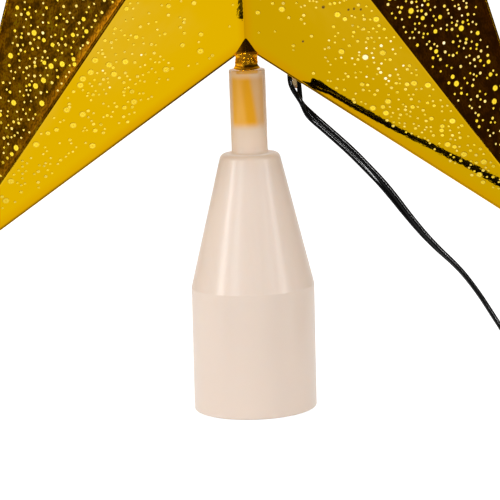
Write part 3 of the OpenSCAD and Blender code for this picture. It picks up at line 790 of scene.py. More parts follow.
    def build(self, tie: bpy.types.Object) -> None:
        """Args:
            tie: The tie round its coil; not used.
        """
        coil, coil_wide = self.coil_path()
        tail, tail_wide = self.tail_path(coil[-1] + (0, self.cord_w, 0))
        lead, lead_wide = self.lead_path()
        line = np.concatenate([lead, coil, tail])
        points, faces = sweep(line, np.concatenate([lead_wide, coil_wide, tail_wide]), self.twin_section())
        cord = make_object("flat_lead", points, faces, Body.STAR, CORD_PVC.make("Glossy extruded PVC"))
        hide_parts("cord_lead", "cord_coil", "cord_tail")
        LOG.info("flat_lead is %.0f mm long", np.linalg.norm(np.diff(line, axis=0), axis=1).sum())
        ends = ["plug_relief", "plug_grip", "plug_shell", "plug_insert"]
        ends += ["plug_contacts", "plug_board", "plug_resistor"]


# The studio: backdrop, lights and camera


@dataclass
class Studio:
    """White sweep under and behind the object, a dim room in front of it, and soft light."""

    focal: float = 198.33
    eye: tuple[float, float, float] = (-2.69, -663.0, 154.2)
    pan: float = 0.0028
    tilt: float = math.radians(9.85)
    roll: float = -0.0366
    aim_z: float = 90.0
    floor_in_gold: float = 0.94
    floor_light: float = 0.8
    surround: float = 0.52

    def camera(self) -> None:
        """Places the camera at the photograph's point of view; pan, tilt and roll are turns of its frame."""
        data = bpy.data.cameras.new("photo_view")
        data.lens, data.sensor_width = self.focal, 36.0
        data.clip_start, data.clip_end = 0.01, 20.0
        eye = bpy.data.objects.new("photo_view", data)
        bpy.context.scene.collection.objects.link(eye)
        level = np.array([math.cos(self.pan), -math.sin(self.pan), 0])
        far = math.cos(self.tilt)
        ahead = np.array([math.sin(self.pan) * far, math.cos(self.pan) * far, -math.sin(self.tilt)])
        above = np.cross(level, ahead)
        right = level * math.cos(self.roll) + above * math.sin(self.roll)
        up = above * math.cos(self.roll) - level * math.sin(self.roll)
        eye.matrix_world = turned([right, up, -ahead], self.eye)
        bpy.context.scene.camera = eye

    def world(self) -> None:
        """Even white surround; it is pure white where a camera, glossy or transmission ray meets it."""
        world = bpy.data.worlds.new("white_room")
        world.use_nodes = True
        world.node_tree.nodes.clear()
        add = partial(add_node, world.node_tree)
        rays = add("LightPath").outputs
        seen = add("Math", (rays["Is Camera Ray"], rays["Is Glossy Ray"]), operation="ADD")
        clear = add("Math", (seen, rays["Is Transmission Ray"]), operation="ADD", use_clamp=True)
        power = add("MapRange", (clear, 0.0, 1.0, self.surround, 1.0))
        add("OutputWorld", {"Surface": add("Background", {"Color": (1, 1, 1, 1), "Strength": power})})
        bpy.context.scene.world = world

    def floor(self) -> None:
        """Round white table, a flat ring grid out to 3 m, that keeps a faint shadow under the object."""
        material, add, where = start_material("Matt white laminate")
        rays = add("LightPath").outputs
        clear = add("Math", (rays["Is Camera Ray"], rays["Is Transmission Ray"]), operation="ADD")
        mottle = add("TexNoise", {"Vector": where, "Scale": 40.0})
        inputs = {
            "Base Color": add("Mix", {0: mottle, 6: "#DEDEDE", 7: "#E6E6E6"}, **COLOURS),
            "Roughness": 0.9,
            "Specular IOR Level": 0.0,
            "Emission Color": (1, 1, 1, 1),
            "Emission Strength": add("Math", (clear, self.floor_light), **TIMES),
        }
        glow = add("Emission", {"Color": (1, 1, 1, 1), "Strength": self.floor_in_gold})
        both = add("MixShader", (rays["Is Glossy Ray"], add("BsdfPrincipled", inputs), glow))
        add("OutputMaterial", {"Surface": both})
        sides = 64
        ring = np.column_stack([circle(1.0, sides), np.zeros(sides)])
        points = np.array([0.0, 400.0, 1000.0, 3000.0])[:, None, None] * ring[None] - (0, 0, 0.2)
        faces = grid_faces(4, sides).tolist()
        table = make_object("table", points, faces, None, material, shade_smooth=False)

    def flag(
        self, name: str, span: tuple[float, float], levels: tuple[float, float], colour: str, near: float
    ) -> None:
        """Curved dark card that only mirrors see, the unlit side of the room, 1 m away and up from the table.

        Args:
            name: Name of the card.
            span: Azimuths where it starts and ends, in degrees from +X.
            levels: Brightness at the start and at the end.
            colour: Colour of its cloth.
            near: Radius from which it also lies on the table.
        """
        material, add, _ = start_material(name + " cloth")
        power = add("MapRange", (add("Attribute", attribute_name="along"), 0.0, 1.0, *levels))
        add("OutputMaterial", {"Surface": add("Emission", {"Color": colour, "Strength": power})})
        share = np.linspace(0, 1, 33)
        angle = np.radians(span[0] + (span[1] - span[0]) * share)
        around = np.stack([np.cos(angle), np.sin(angle)], -1)
        rows = [(near, 3.0), (999.0, 3.0), (1000.0, 4.0), (1000.0, 1500.0)]
        points = np.stack([np.column_stack([around * r, np.full(len(share), z)]) for r, z in rows])
        faces = grid_faces(len(rows), len(share), wrap=False).tolist()
        card = make_object(name, points, faces, None, material, {"along": np.tile(share, len(rows))}, False)
        card.visible_camera = card.visible_diffuse = card.visible_shadow = card.visible_transmission = False

    def lamp(
        self,
        name: str,
        place: tuple[float, float, float],
        size: tuple[float, float],
        watts: float,
        colour: tuple[float, float, float] = (1.0, 1.0, 1.0),
    ) -> bpy.types.Object:
        """Soft rectangular light that faces the middle of the object.

        Args:
            name: Name of the light.
            place: Its middle, in millimetres.
            size: Width and height in millimetres.
            watts: Power.
            colour: Its tint.

        Returns:
            The light.
        """
        data = bpy.data.lights.new(name, "AREA")
        data.shape, data.size, data.size_y = "RECTANGLE", size[0] * MM, size[1] * MM
        data.energy, data.color = watts, colour
        light = bpy.data.objects.new(name, data)
        away = unit(np.array(place) - (0, 0, self.aim_z))
        side = unit(np.cross((0, 0, 1.0), away))
        light.matrix_world = turned([side, np.cross(away, side), away], place)
        bpy.context.scene.collection.objects.link(light)
        return light

    def build(self, black_cords: list[bpy.types.Object]) -> None:
        """Sets the whole studio up.

        Args:
            black_cords: What the strip light is flagged to fall on, so that black PVC shows its gloss.
        """
        self.camera()
        self.world()
        self.floor()
        self.flag("room_left", (120, 215), (0.21, 0.10), "#FFD695", 190)
        self.flag("room_front", (215, 325), (0.05, 0.02), "#FFC890", 70)
        self.flag("room_right", (325, 412), (0.02, 0.045), "#FFB56E", 190)
        self.lamp("key", (-770, -360, 330), (110, 560), 2.95)
        self.lamp("window", (-520, -720, 290), (40, 480), 1.2, (0.84, 0.92, 1.0))
        self.lamp("edge", (550, -705, 300), (24, 430), 0.5)
        self.lamp("fill", (740, -420, 360), (140, 700), 2.4)
        strip = self.lamp("strip", (427, -826, 299), (60, 260), 10.0)
        lit = bpy.data.collections.new("lit_by_the_strip")
        for cord in black_cords:
            lit.objects.link(cord)
        strip.light_linking.receiver_collection = lit
        bpy.context.scene.view_settings.view_transform = "Standard"


# The star


@dataclass
class StarForm:
    """Five-armed star outline and the raised faces over it; plan points are (x, height above the centre)."""

    tip_r: float = 131.0
    valley_r: float = 53.0
    half_depth: float = 55.0
    wall: float = 1.4
    lip_reach: float = 0.2
    lip_half: float = 0.25
    tip_blunt: float = 1.2
    centre_z: float = 141.5
    ridge_round: float = 0.3
    valley_round: float = 0.35
    sag_slope: float = 0.0024
    sag_lengths: tuple[float, ...] = (47.0, 39, 31, 26, 21, 17, 14, 11.5, 9.5)

    def __post_init__(self) -> None:
        """Works out the edge line between a tip and a valley in an arm's own axes."""
        along = unit(np.array([self.tip_r, 0.0]) - polar(self.valley_r, 36))
        self.edge_normal = np.array([-along[1], along[0]])
        edge_r = self.tip_r * float(self.edge_normal[0])
        self.facet_share = 1 - self.lip_reach / edge_r
        self.facet_r = edge_r * self.facet_share
        plane_r = self.half_depth * self.facet_r / math.hypot(self.half_depth, self.facet_r)
        self.cavity_share = 1 - self.wall / plane_r
        self.slope = self.half_depth / self.facet_r

    def arm_axes(self, plan: np.ndarray) -> tuple[np.ndarray, np.ndarray, np.ndarray, np.ndarray]:
        """Distances of plan points from the moulded edges.

        Args:
            plan: Plan points, any shape ending in 2.

        Returns:
            Distance inside the faces' outer edge, from the arm's ridge, from the valley line, and the point's
            share of the way out, 1 on the edge.
        """
        angle = np.degrees(np.arctan2(plan[..., 1], plan[..., 0])) - 90
        local = np.radians(angle - 72 * np.round(angle / 72))
        r = np.linalg.norm(plan, axis=-1)
        u, v = r * np.cos(local), np.abs(r * np.sin(local))
        out = u * self.edge_normal[0] + v * self.edge_normal[1]
        sin, cos = polar(1, 36)[::-1]
        return self.facet_r - out, v, np.maximum(u * sin - v * cos, 0), out / self.facet_r

    def relief(self, plan: np.ndarray, side: Side) -> np.ndarray:
        """Height of a face over the seam plane.

        It is half_depth * (1 - share), less m (w - d)^2 / 2w within w of a ridge, more k (w - d)^2 / 2w
        within w of a valley, and plus slow waves that fade out at the edges.

        Args:
            plan: Plan points.
            side: Half of the star.

        Returns:
            Heights in millimetres.
        """
        edge, ridge, valley, share = self.arm_axes(plan)
        sin, cos = polar(1, 36)[::-1]
        fall = sin * self.edge_normal[0] - cos * self.edge_normal[1]
        height = self.half_depth * (1 - share)
        ridge_round = (self.edge_normal[1], self.ridge_round, ridge)
        for turn, w, away in (ridge_round, (fall, self.valley_round, valley)):
            height -= self.slope * turn * np.clip(w - away, 0, None) ** 2 / (2 * w)
        sag = plane_waves(plan, self.sag_lengths, 5 if side is Side.FRONT else 6) * self.sag_slope
        return height + sag * smooth(edge, 0.5, 8) * smooth(ridge, 0.5, 6) * smooth(valley, 0.5, 6)

    def place(self, plan: np.ndarray, height: np.ndarray | float, side: Side) -> np.ndarray:
        """Turns plan points and heights over the seam into points of the row frame."""
        y = np.broadcast_to(side.value * height, plan.shape[:-1])
        return np.stack([plan[..., 0], y, self.centre_z + plan[..., 1]], -1)


def face_index(plan: np.ndarray) -> np.ndarray:
    """Number of the face that plan points lie on, from 0 left of the top ridge and on round to the left."""
    return np.floor((np.degrees(np.arctan2(plan[:, 1], plan[:, 0])) - 90) / 36).astype(int) % 10


@dataclass
class Shell:
    """One moulded half of the star: faces, lip, hollow inside; the tuples hold a value for each face."""

    form: StarForm
    side: Side
    rows: int = 84
    lacquer: tuple[float, ...] = (0.3, 0.6, 0.15, 0.5, 0.0, 1.0, 0.35, 0.2, 0.7, 0.4)
    mottle: tuple[float, ...] = (0.5, 0.15, 0.2, 0.8, 0.0, 0.0, 0.55, 0.2, 0.15, 0.5)
    # Strength of the painted reflection band along each face's ridge
    bared: tuple[float, ...] = (0.5, 0.0, 0.0, 0.95, 0.0, 0.0, 0.0, 0.0, 0.2, 0.0)
    # How little the painted shade in each face's folds darkens it
    bright_fold: tuple[float, ...] = (0.1, 0.1, 0.1, 0.1, 0.6, 0.95, 0.0, 0.1, 0.1, 0.1)
    # Painted light: a glow along each face's lip and a pale painted highlight along its ridge
    lip_light: tuple[float, ...] = (0.0, 0.0, 0.0, 0.0, 0.24, 0.55, 0.0, 0.0, 0.0, 0.0)
    ridge_light: tuple[float, ...] = (0.0, 0.0, 0.0, 0.0, 0.1, 0.22, 0.0, 0.0, 0.0, 0.0)

    def spokes(self) -> np.ndarray:
        """Ends of the grid's spokes on the outline, closer together at ridges and valleys.

        Returns:
            Plan points, round to the left from the top tip.
        """
        fine = np.array([0, 0.0012, 0.0024, 0.0036, 0.006, 0.010, 0.016, 0.026, 0.045, 0.08])
        close = 1 - np.array([0.07, 0.045, 0.028, 0.017, 0.010, 0.0065, 0.0032])
        t = np.concatenate([fine, np.linspace(0.115, 0.9, 20), close])
        radii = (self.form.tip_r, self.form.valley_r)
        corners = np.array([polar(radii[i % 2], 90 + 36 * i) for i in range(11)])
        shares = (t[:, None], 1 - np.concatenate([[1.0], t[:0:-1]])[:, None])
        return np.concatenate([corners[i] + (corners[i + 1] - corners[i]) * shares[i % 2] for i in range(10)])

    def looks(
        self, points: np.ndarray, row: np.ndarray, face_rows: int, lip_rows: int
    ) -> dict[str, np.ndarray]:
        """Attributes that the gold reads: each face's own finish, painted shade in its folds, a painted
        reflection band by its ridge, and painted light along its ridge and lip.

        Args:
            points: Points of the shell.
            row: Row of the grid in which each lies.
            face_rows: Rows on the faces.
            lip_rows: Rows on the lip, which come next.

        Returns:
            Numbers for each point, by attribute name.
        """
        plan = points[:, [0, 2]] - (0, self.form.centre_z)
        face = face_index(plan)
        lacquer, mottle, bared = (np.array(v)[face] for v in (self.lacquer, self.mottle, self.bared))
        by_face = (self.bright_fold, self.lip_light, self.ridge_light)
        bright_fold, lip_light, ridge_light = (np.array(v)[face] for v in by_face)
        ridge = self.form.arm_axes(plan)[1]
        bared *= 1 - 0.82 * smooth(np.linalg.norm(plan, axis=1), 44, 88)
        # Painted glow along the lip, stronger away from the middle, and a painted highlight on the ridge's
        # crest
        lit = lip_light * (0.2 + 0.8 * smooth(np.abs(plan[:, 0]), 12, 40))
        crest = ridge_light * (1 - smooth(ridge, 0.12, 0.4))
        on_face, on_lip = row < face_rows, (row >= face_rows) & (row < face_rows + lip_rows)
        return {
            "ridge_mm": ridge,
            "lacquer": lacquer,
            "mottle": mottle,
            "bared": np.where(on_face, bared, 0.0),
            "bright_fold": bright_fold,
            "painted_glow": np.where(on_lip, lit, np.where(on_face, crest, 0.0)),
        }

    def build(self, name: str, node: str, material: bpy.types.Material) -> None:
        """Makes the closed shell: down the faces from the apex, over the lip, across the seam, up the hollow.

        Args:
            name: Name of the piece.
            node: CAD node that it stands for.
            material: Its finish.
        """
        form, side = self.form, self.side
        spokes = self.spokes()
        foot = form.facet_share * (1 - form.lip_half / form.half_depth)
        share = np.concatenate([[0.012], np.linspace(0.022, foot - 0.004, self.rows), [foot - 0.0006]])
        plan = share[:, None, None] * spokes[None]
        edge, _, valley, _ = form.arm_axes(plan)
        outer = form.place(plan, form.relief(plan, side), side)
        h = form.lip_half
        lip = [(foot + 0.0008, h), (0.9965, h), (0.9985, h * 0.96), (0.9996, h * 0.8), (1.0, h * 0.5)]
        lip += [(1.0, h * 0.16), (0.999, h * 0.03), (0.996, 0.0), (0.965, 0.0)]
        reach, height = np.array(lip).T
        ends = reach[:, None, None] * spokes[None]
        ends *= np.minimum(1, (form.tip_r - form.tip_blunt) / np.linalg.norm(ends, axis=-1, keepdims=True))
        hollow = form.facet_share * form.cavity_share * np.linspace(1, 0.06, 9)
        depth = form.half_depth * (form.cavity_share - hollow / form.facet_share)
        inner = form.place(hollow[:, None, None] * spokes[None], depth[:, None], side)
        tops = np.array([form.half_depth - 0.35, form.half_depth * form.cavity_share])
        grid = np.concatenate([outer, form.place(ends, height[:, None], side), inner])
        points = np.concatenate([grid.reshape(-1, 3), form.place(np.zeros((2, 2)), tops, side)])
        rows, columns = grid.shape[:2]
        c = np.arange(columns)
        d = (c + 1) % columns
        first = np.full(columns, rows * columns)
        base = (rows - 1) * columns
        faces = grid_faces(rows, columns)
        fans = np.concatenate([np.stack([first, d, c], -1), np.stack([first + 1, base + c, base + d], -1)])
        if side is Side.FRONT:
            faces, fans = faces[:, ::-1], fans[:, ::-1]
        rim = np.full(len(points), 9.0)
        rim[: edge.size + ends.size // 2] = 0.0
        rim[: edge.size] = np.minimum(edge, valley * 1.4).ravel()
        looks = self.looks(points, np.arange(len(points)) // columns, len(outer), len(lip))
        looks["rim_mm"] = rim
        faces = [*faces.tolist(), *fans.tolist()]
        shell = make_object(name, points, faces, Body.STAR, material, looks)
        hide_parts(node)


@dataclass
class LaserDots:
    """Round spots burned through the metal by a laser that faces the star, so they are round as seen from it.

    The tuples up to paleness hold a value for each size of spot or for each face, and hot_share, for each
    arm, the chance of a hot spot left and right of its ridge.
    """

    form: StarForm
    side: Side
    seed: int
    pitch: float = 1.55
    jitter: float = 0.42
    sides: int = 12
    proud: float = 0.055
    radii: tuple[float, ...] = (0.31, 0.43, 0.60, 0.80)
    shares: tuple[float, ...] = (0.67, 0.22, 0.045, 0.065)
    density: tuple[float, ...] = (0.9, 0.8, 0.7, 0.92, 0.62, 0.95, 1.05, 0.7, 0.8, 0.9)
    strength: tuple[float, ...] = (0.7, 0.6, 0.6, 0.45, 1.15, 1.15, 1.0, 0.6, 0.6, 0.7)
    paleness: tuple[float, ...] = (0.3, 0.3, 0.3, 0.3, 0.12, 0.16, 0.4, 0.3, 0.3, 0.3)
    hot_share: tuple[tuple[float, float], ...] = (
        (0.4, 0.3), (0.3, 0.4), (0.14, 0.03), (0.62, 0.2), (0.3, 0.4),
    )  # fmt: skip
    hot_r: float = 64.0
    hot_aside: float = 9.0
    hot_reach: float = 6.0
    edge_margin: float = 2.7
    ridge_margins: tuple[float, ...] = (0.8, 0.8, 0.8, 0.8, 0.8, 0.8, 1.2, 0.8, 0.8, 0.8)
    valley_margin: float = 2.2
    least_gap: float = 0.14
    twin_share: float = 0.05
    wire_shade: float = 0.9

    def spots(self) -> tuple[np.ndarray, np.ndarray]:
        """Middles and radii: a hexagonal lattice with every point pushed off its place and many left out.

        Returns:
            Plan points and radii.
        """
        rng = np.random.default_rng(self.seed)
        form = self.form
        x = np.arange(-form.tip_r, form.tip_r, self.pitch)
        z = np.arange(-form.tip_r, form.tip_r, self.pitch * math.sqrt(3) / 2)
        grid = np.stack(np.meshgrid(x, z), -1)
        grid[1::2, :, 0] += self.pitch / 2
        spots = grid.reshape(-1, 2) + rng.normal(0, self.jitter, (grid.size // 2, 2))
        radius = rng.choice(self.radii, len(spots), p=self.shares)
        edge, ridge, valley, _ = form.arm_axes(spots)
        face = face_index(spots)
        keep = edge > self.edge_margin + rng.uniform(0, 1.4, len(spots))
        keep &= (ridge > np.array(self.ridge_margins)[face] + radius) & (valley > self.valley_margin)
        crowd = (0.14 + 0.86 * smooth(valley, 6, 30)) * np.array(self.density)[face]
        crowd *= 0.7 + 0.6 * smooth(plane_waves(spots, (34.0, 21, 13), self.seed + 7), -1, 1)
        keep &= rng.uniform(0, 1, len(spots)) < crowd
        spots, radius = spots[keep], radius[keep]
        order = np.argsort(-radius, kind="stable")
        spots, radius = spots[order], radius[order]
        sector = np.floor(np.degrees(np.arctan2(spots[:, 1], spots[:, 0])) / 12).astype(int)
        chosen = np.ones(len(spots), bool)
        for part in np.unique(sector):
            i = np.flatnonzero(sector == part)
            gap = np.linalg.norm(spots[i, None] - spots[None, i], axis=-1) - radius[i, None] - radius[None, i]
            chosen[i] = ~np.any(np.tril(gap < self.least_gap, -1), axis=1)
        spots, radius = spots[chosen], radius[chosen]
        twin = (rng.uniform(0, 1, len(spots)) < self.twin_share) & (radius > 0.4) & (radius < 0.7)
        turn = rng.uniform(1.2, 1.9, twin.sum())
        mate = spots[twin] - np.stack([np.cos(turn), np.sin(turn)], -1) * radius[twin, None] * 1.95
        return np.concatenate([spots, mate]), np.concatenate([radius, radius[twin]])

    def heat(self, spots: np.ndarray, radius: np.ndarray, dark_line: np.ndarray) -> np.ndarray:
        """How strongly each spot is lit from inside.

        Args:
            spots: Plan points.
            radius: Their radii.
            dark_line: Plan points of the wires that lie against the wall inside.

        Returns:
            About 0.4, up to 1 beside a lamp, and 0 where a wire blocks the light.
        """
        rng = np.random.default_rng(self.seed + 1)
        count = len(spots)
        out = np.linalg.norm(spots, axis=1)
        value = np.clip(rng.normal(0.36, 0.1, count), 0.1, 0.5) * np.array(self.strength)[face_index(spots)]
        value *= 1 - 0.72 * smooth(out + rng.normal(0, 4, count), 84, 104)
        for tip, chances in enumerate(self.hot_share):
            ahead, across = polar(1, 90 + 72 * tip), polar(1, 180 + 72 * tip)
            for way, chance in zip((-self.hot_aside, self.hot_aside), chances):
                d = np.linalg.norm(spots - ahead * self.hot_r - across * way, axis=1)
                lit = rng.uniform(0, 1, count) < chance * np.exp(-((d / self.hot_reach) ** 2))
                value = np.where(lit, rng.uniform(0.66, 0.95, count), value)
                if chance > 0.15:
                    value[np.argmin(d + 20 * (radius < 0.7))] = 0.9
        near = np.linalg.norm(spots[:, None] - dark_line[None], axis=-1).min(1) < self.wire_shade
        return np.where(near & (out < self.form.valley_r) & (rng.uniform(0, 1, count) < 0.6), 0.0, value)

    def build(
        self, name: str, node: str, material: bpy.types.Material, dark_line: np.ndarray
    ) -> None:
        """Makes all the spots of one shell as discs that follow its faces a hair's breadth above them.

        Args:
            name: Name of the piece.
            node: CAD node on which they lie.
            material: Their finish.
            dark_line: Plan points of the wires inside.
        """
        spots, radius = self.spots()
        face = face_index(spots)
        n = self.sides
        ring = np.concatenate([np.zeros((1, 2)), circle(1.0, n)])
        plan = spots[:, None] + radius[:, None, None] * ring[None]
        points = self.form.place(plan, self.form.relief(plan, self.side) + self.proud, self.side)
        k = np.arange(n)
        fan = np.stack([np.zeros(n, int), 1 + k, 1 + (k + 1) % n], -1)
        if self.side is Side.REAR:
            fan = fan[:, ::-1]
        faces = (fan[None] + (np.arange(len(spots)) * (n + 1))[:, None, None]).reshape(-1, 3)
        shade = np.random.default_rng(self.seed + 2).uniform(0, 1, len(spots))
        pale = np.where(radius < 0.5, smooth(shade, 0.1, 1.0), 0.0) * np.array(self.paleness)[face]
        looks = {
            "light_level": self.heat(spots, radius, dark_line),
            "paleness": pale,
            "lacquer": np.array(Shell.lacquer)[face],
        }
        looks = {key: np.repeat(values, n + 1) for key, values in looks.items()}
        looks["spoke"] = np.tile(np.concatenate([[0.0], np.ones(n)]), len(spots))
        dots = make_object(name, points, faces.tolist(), Body.STAR, material, looks)
        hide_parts(node)


@dataclass
class Peg:
    """The star's peg: a smooth root in the valley, a crumpled weld, and a shank that turns in the neck."""

    foot_z: float = 70.7
    top_z: float = 96.4
    weld_z: tuple[float, float] = (83.3, 87.7)
    shank_r: float = 2.6
    root_r: float = 2.75
    bevel: float = 0.6
    crumple: float = 0.13
    crumple_lengths: tuple[float, ...] = (3.2, 4.1, 5.2)
    crumple_squash: float = 1.9
    dent_limits: tuple[float, float] = (-0.26, 0.2)
    rim_reach: float = 0.25
    sag: float = 1.25
    droop: float = 0.34
    glow: float = 0.22
    wedge: float = 2.9
    wedge_slope: float = 0.98
    rows: int = 190
    sides: int = 120

    def dents(self, flat: np.ndarray, height: np.ndarray) -> np.ndarray:
        """Dents of the weld: the sum of two folded wave fields, one over (x, z) and one over (y, z).

        Args:
            flat: Points (x, y) of the smooth peg.
            height: Their heights.

        Returns:
            How far each point moves outwards.
        """
        low, high = self.weld_z
        tall = height * self.crumple_squash
        plans = [np.stack([flat[..., i], tall], -1) for i in (0, 1)]
        fields = (plane_waves(plan, self.crumple_lengths, 41 + i) for i, plan in enumerate(plans))
        folded = sum(np.sqrt(waves**2 + 0.02) for waves in fields)
        dent = np.clip((folded - folded.mean()) / folded.std() * self.crumple, *self.dent_limits)
        return dent * (smooth(height, low - 0.3, low + 0.5) * (1 - smooth(height, high - 0.4, high + 0.4)))

    def build(self) -> None:
        """Turns the peg, dents the weld, lets its lower rim sag in front, and ends it in a wedge."""
        low, high = self.weld_z
        shank = np.linspace(self.foot_z + self.bevel, self.top_z, self.rows - 2)
        z = np.concatenate([[self.foot_z, self.foot_z + 0.02], shank])
        radius = self.shank_r + (self.root_r - self.shank_r) * smooth(z, low + 0.22, low + 0.5)
        radius[:2] = (self.shank_r - self.bevel - 0.05, self.shank_r - self.bevel)
        ring = circle(1.0, self.sides)
        x, y = ring.T
        front = np.clip(-y, 0, 1)
        flat = radius[:, None, None] * ring[None]
        height = np.broadcast_to(z[:, None], flat.shape[:2])
        rim = (smooth(z, low + 0.21, low + 0.3) * (1 - smooth(z, low + 0.55, low + 1.0)))[:, None]
        seam = 1 - 0.02 * np.exp(-((flat[..., 1] / 0.12) ** 2))
        diamond = self.wedge / (np.abs(y) + self.wedge_slope * np.sqrt(x**2 + 0.012))
        wedge = smooth(z, high - 0.5, high + 0.3)[:, None]
        bulge = self.dents(flat, height) + rim * (self.rim_reach + self.sag * front**2)
        scale = (radius[:, None] + bulge) * seam * (1 - wedge) + diamond * wedge
        fallen = height - self.droop * rim * front**6
        points = np.concatenate([scale[..., None] * ring[None], fallen[..., None]], -1)
        aside = points[..., 0]
        # Painted light on the peg: a painted shadow just above the weld's lower rim in front, painted shade on
        # the root above the weld, and a painted glow from the weld up, strongest on the left
        shadow = np.exp(-(((height - low - 1.15) / 0.5) ** 2)) * smooth(aside, -1.4, -0.2) * (y < 0)
        root_shade = smooth(height, high - 0.2, high + 0.2) * (1 - 0.3 * smooth(-aside, 0.4, 1.6))
        dark = np.maximum(root_shade, shadow)
        glow = self.glow * smooth(height, low, low + 0.1) * (1 - dark) * (1 - 0.6 * smooth(aside, -1.5, 2.0))
        even = np.ones_like(dark)
        looks = {"rim_mm": 0.8 - 0.75 * dark, "ridge_mm": even * 9, "lacquer": even * 0.5, "painted_glow": glow}
        # Its darkening is painted shade and its glow painted light
        material = WELD_GOLD.make("Weld gold with painted shade and glow")
        peg = make_object("peg_and_weld", points, tube_faces(*points.shape[:2]), Body.STAR, material, looks)
        peg.visible_glossy = False
        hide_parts("front_shell", "rear_shell")


# The socket


@dataclass
class Socket:
    """Skirt, cone, shoulder and neck: one hollow moulding, turned from an outline with rounded corners."""

    wall: float = 1.5
    skirt: tuple[float, float] = (15.05, 30.5)
    shoulder: tuple[float, float] = (7.15, 63.1)
    neck: tuple[float, float] = (4.42, 83.5)
    neck_bore: float = 2.65
    lean: float = 0.0128
    sides: int = 160

    def outline(self) -> np.ndarray:
        """Outline of the wall: corners with a radius each, turned into arcs and short support steps.

        Returns:
            Points (r, z) in millimetres.
        """
        (r0, z0), (r1, z1), (r2, z2) = self.skirt, self.shoulder, self.neck
        in0, in1, roof = r0 - self.wall, r1 - self.wall, z1 - self.wall
        outside = [(r0, 0, 0.4), (r0, z0, 0.9), (r1, z1, 1.5), (r2, z1, 0.9), (r2, z2, 0.4)]
        bore = [(self.neck_bore, z2, 0.4), (self.neck_bore, roof, 0.4)]
        return round_corners([*outside, *bore, (in1, roof, 0.4), (in0, z0, 0.2), (in0, 0, 0.3)])

    def build(self) -> None:
        """Turns the outline round the Z axis and leans it a hair to the left below the shoulder."""
        outline = self.outline()[:, None]
        height = np.broadcast_to(outline[..., 1:], (len(outline), self.sides, 1))
        points = np.concatenate([outline[..., :1] * circle(1.0, self.sides)[None], height], -1)
        points[..., 0] -= self.lean * np.clip(self.shoulder[1] - points[..., 2], 0, None)
        material = FrostedPolypropylene().make("Frosted polypropylene")
        socket = make_object("frosted_socket", points, ring_faces(*points.shape[:2]), Body.SOCKET, material)
        socket.visible_glossy = False
        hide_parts("tree_socket")


# Wiring and small parts


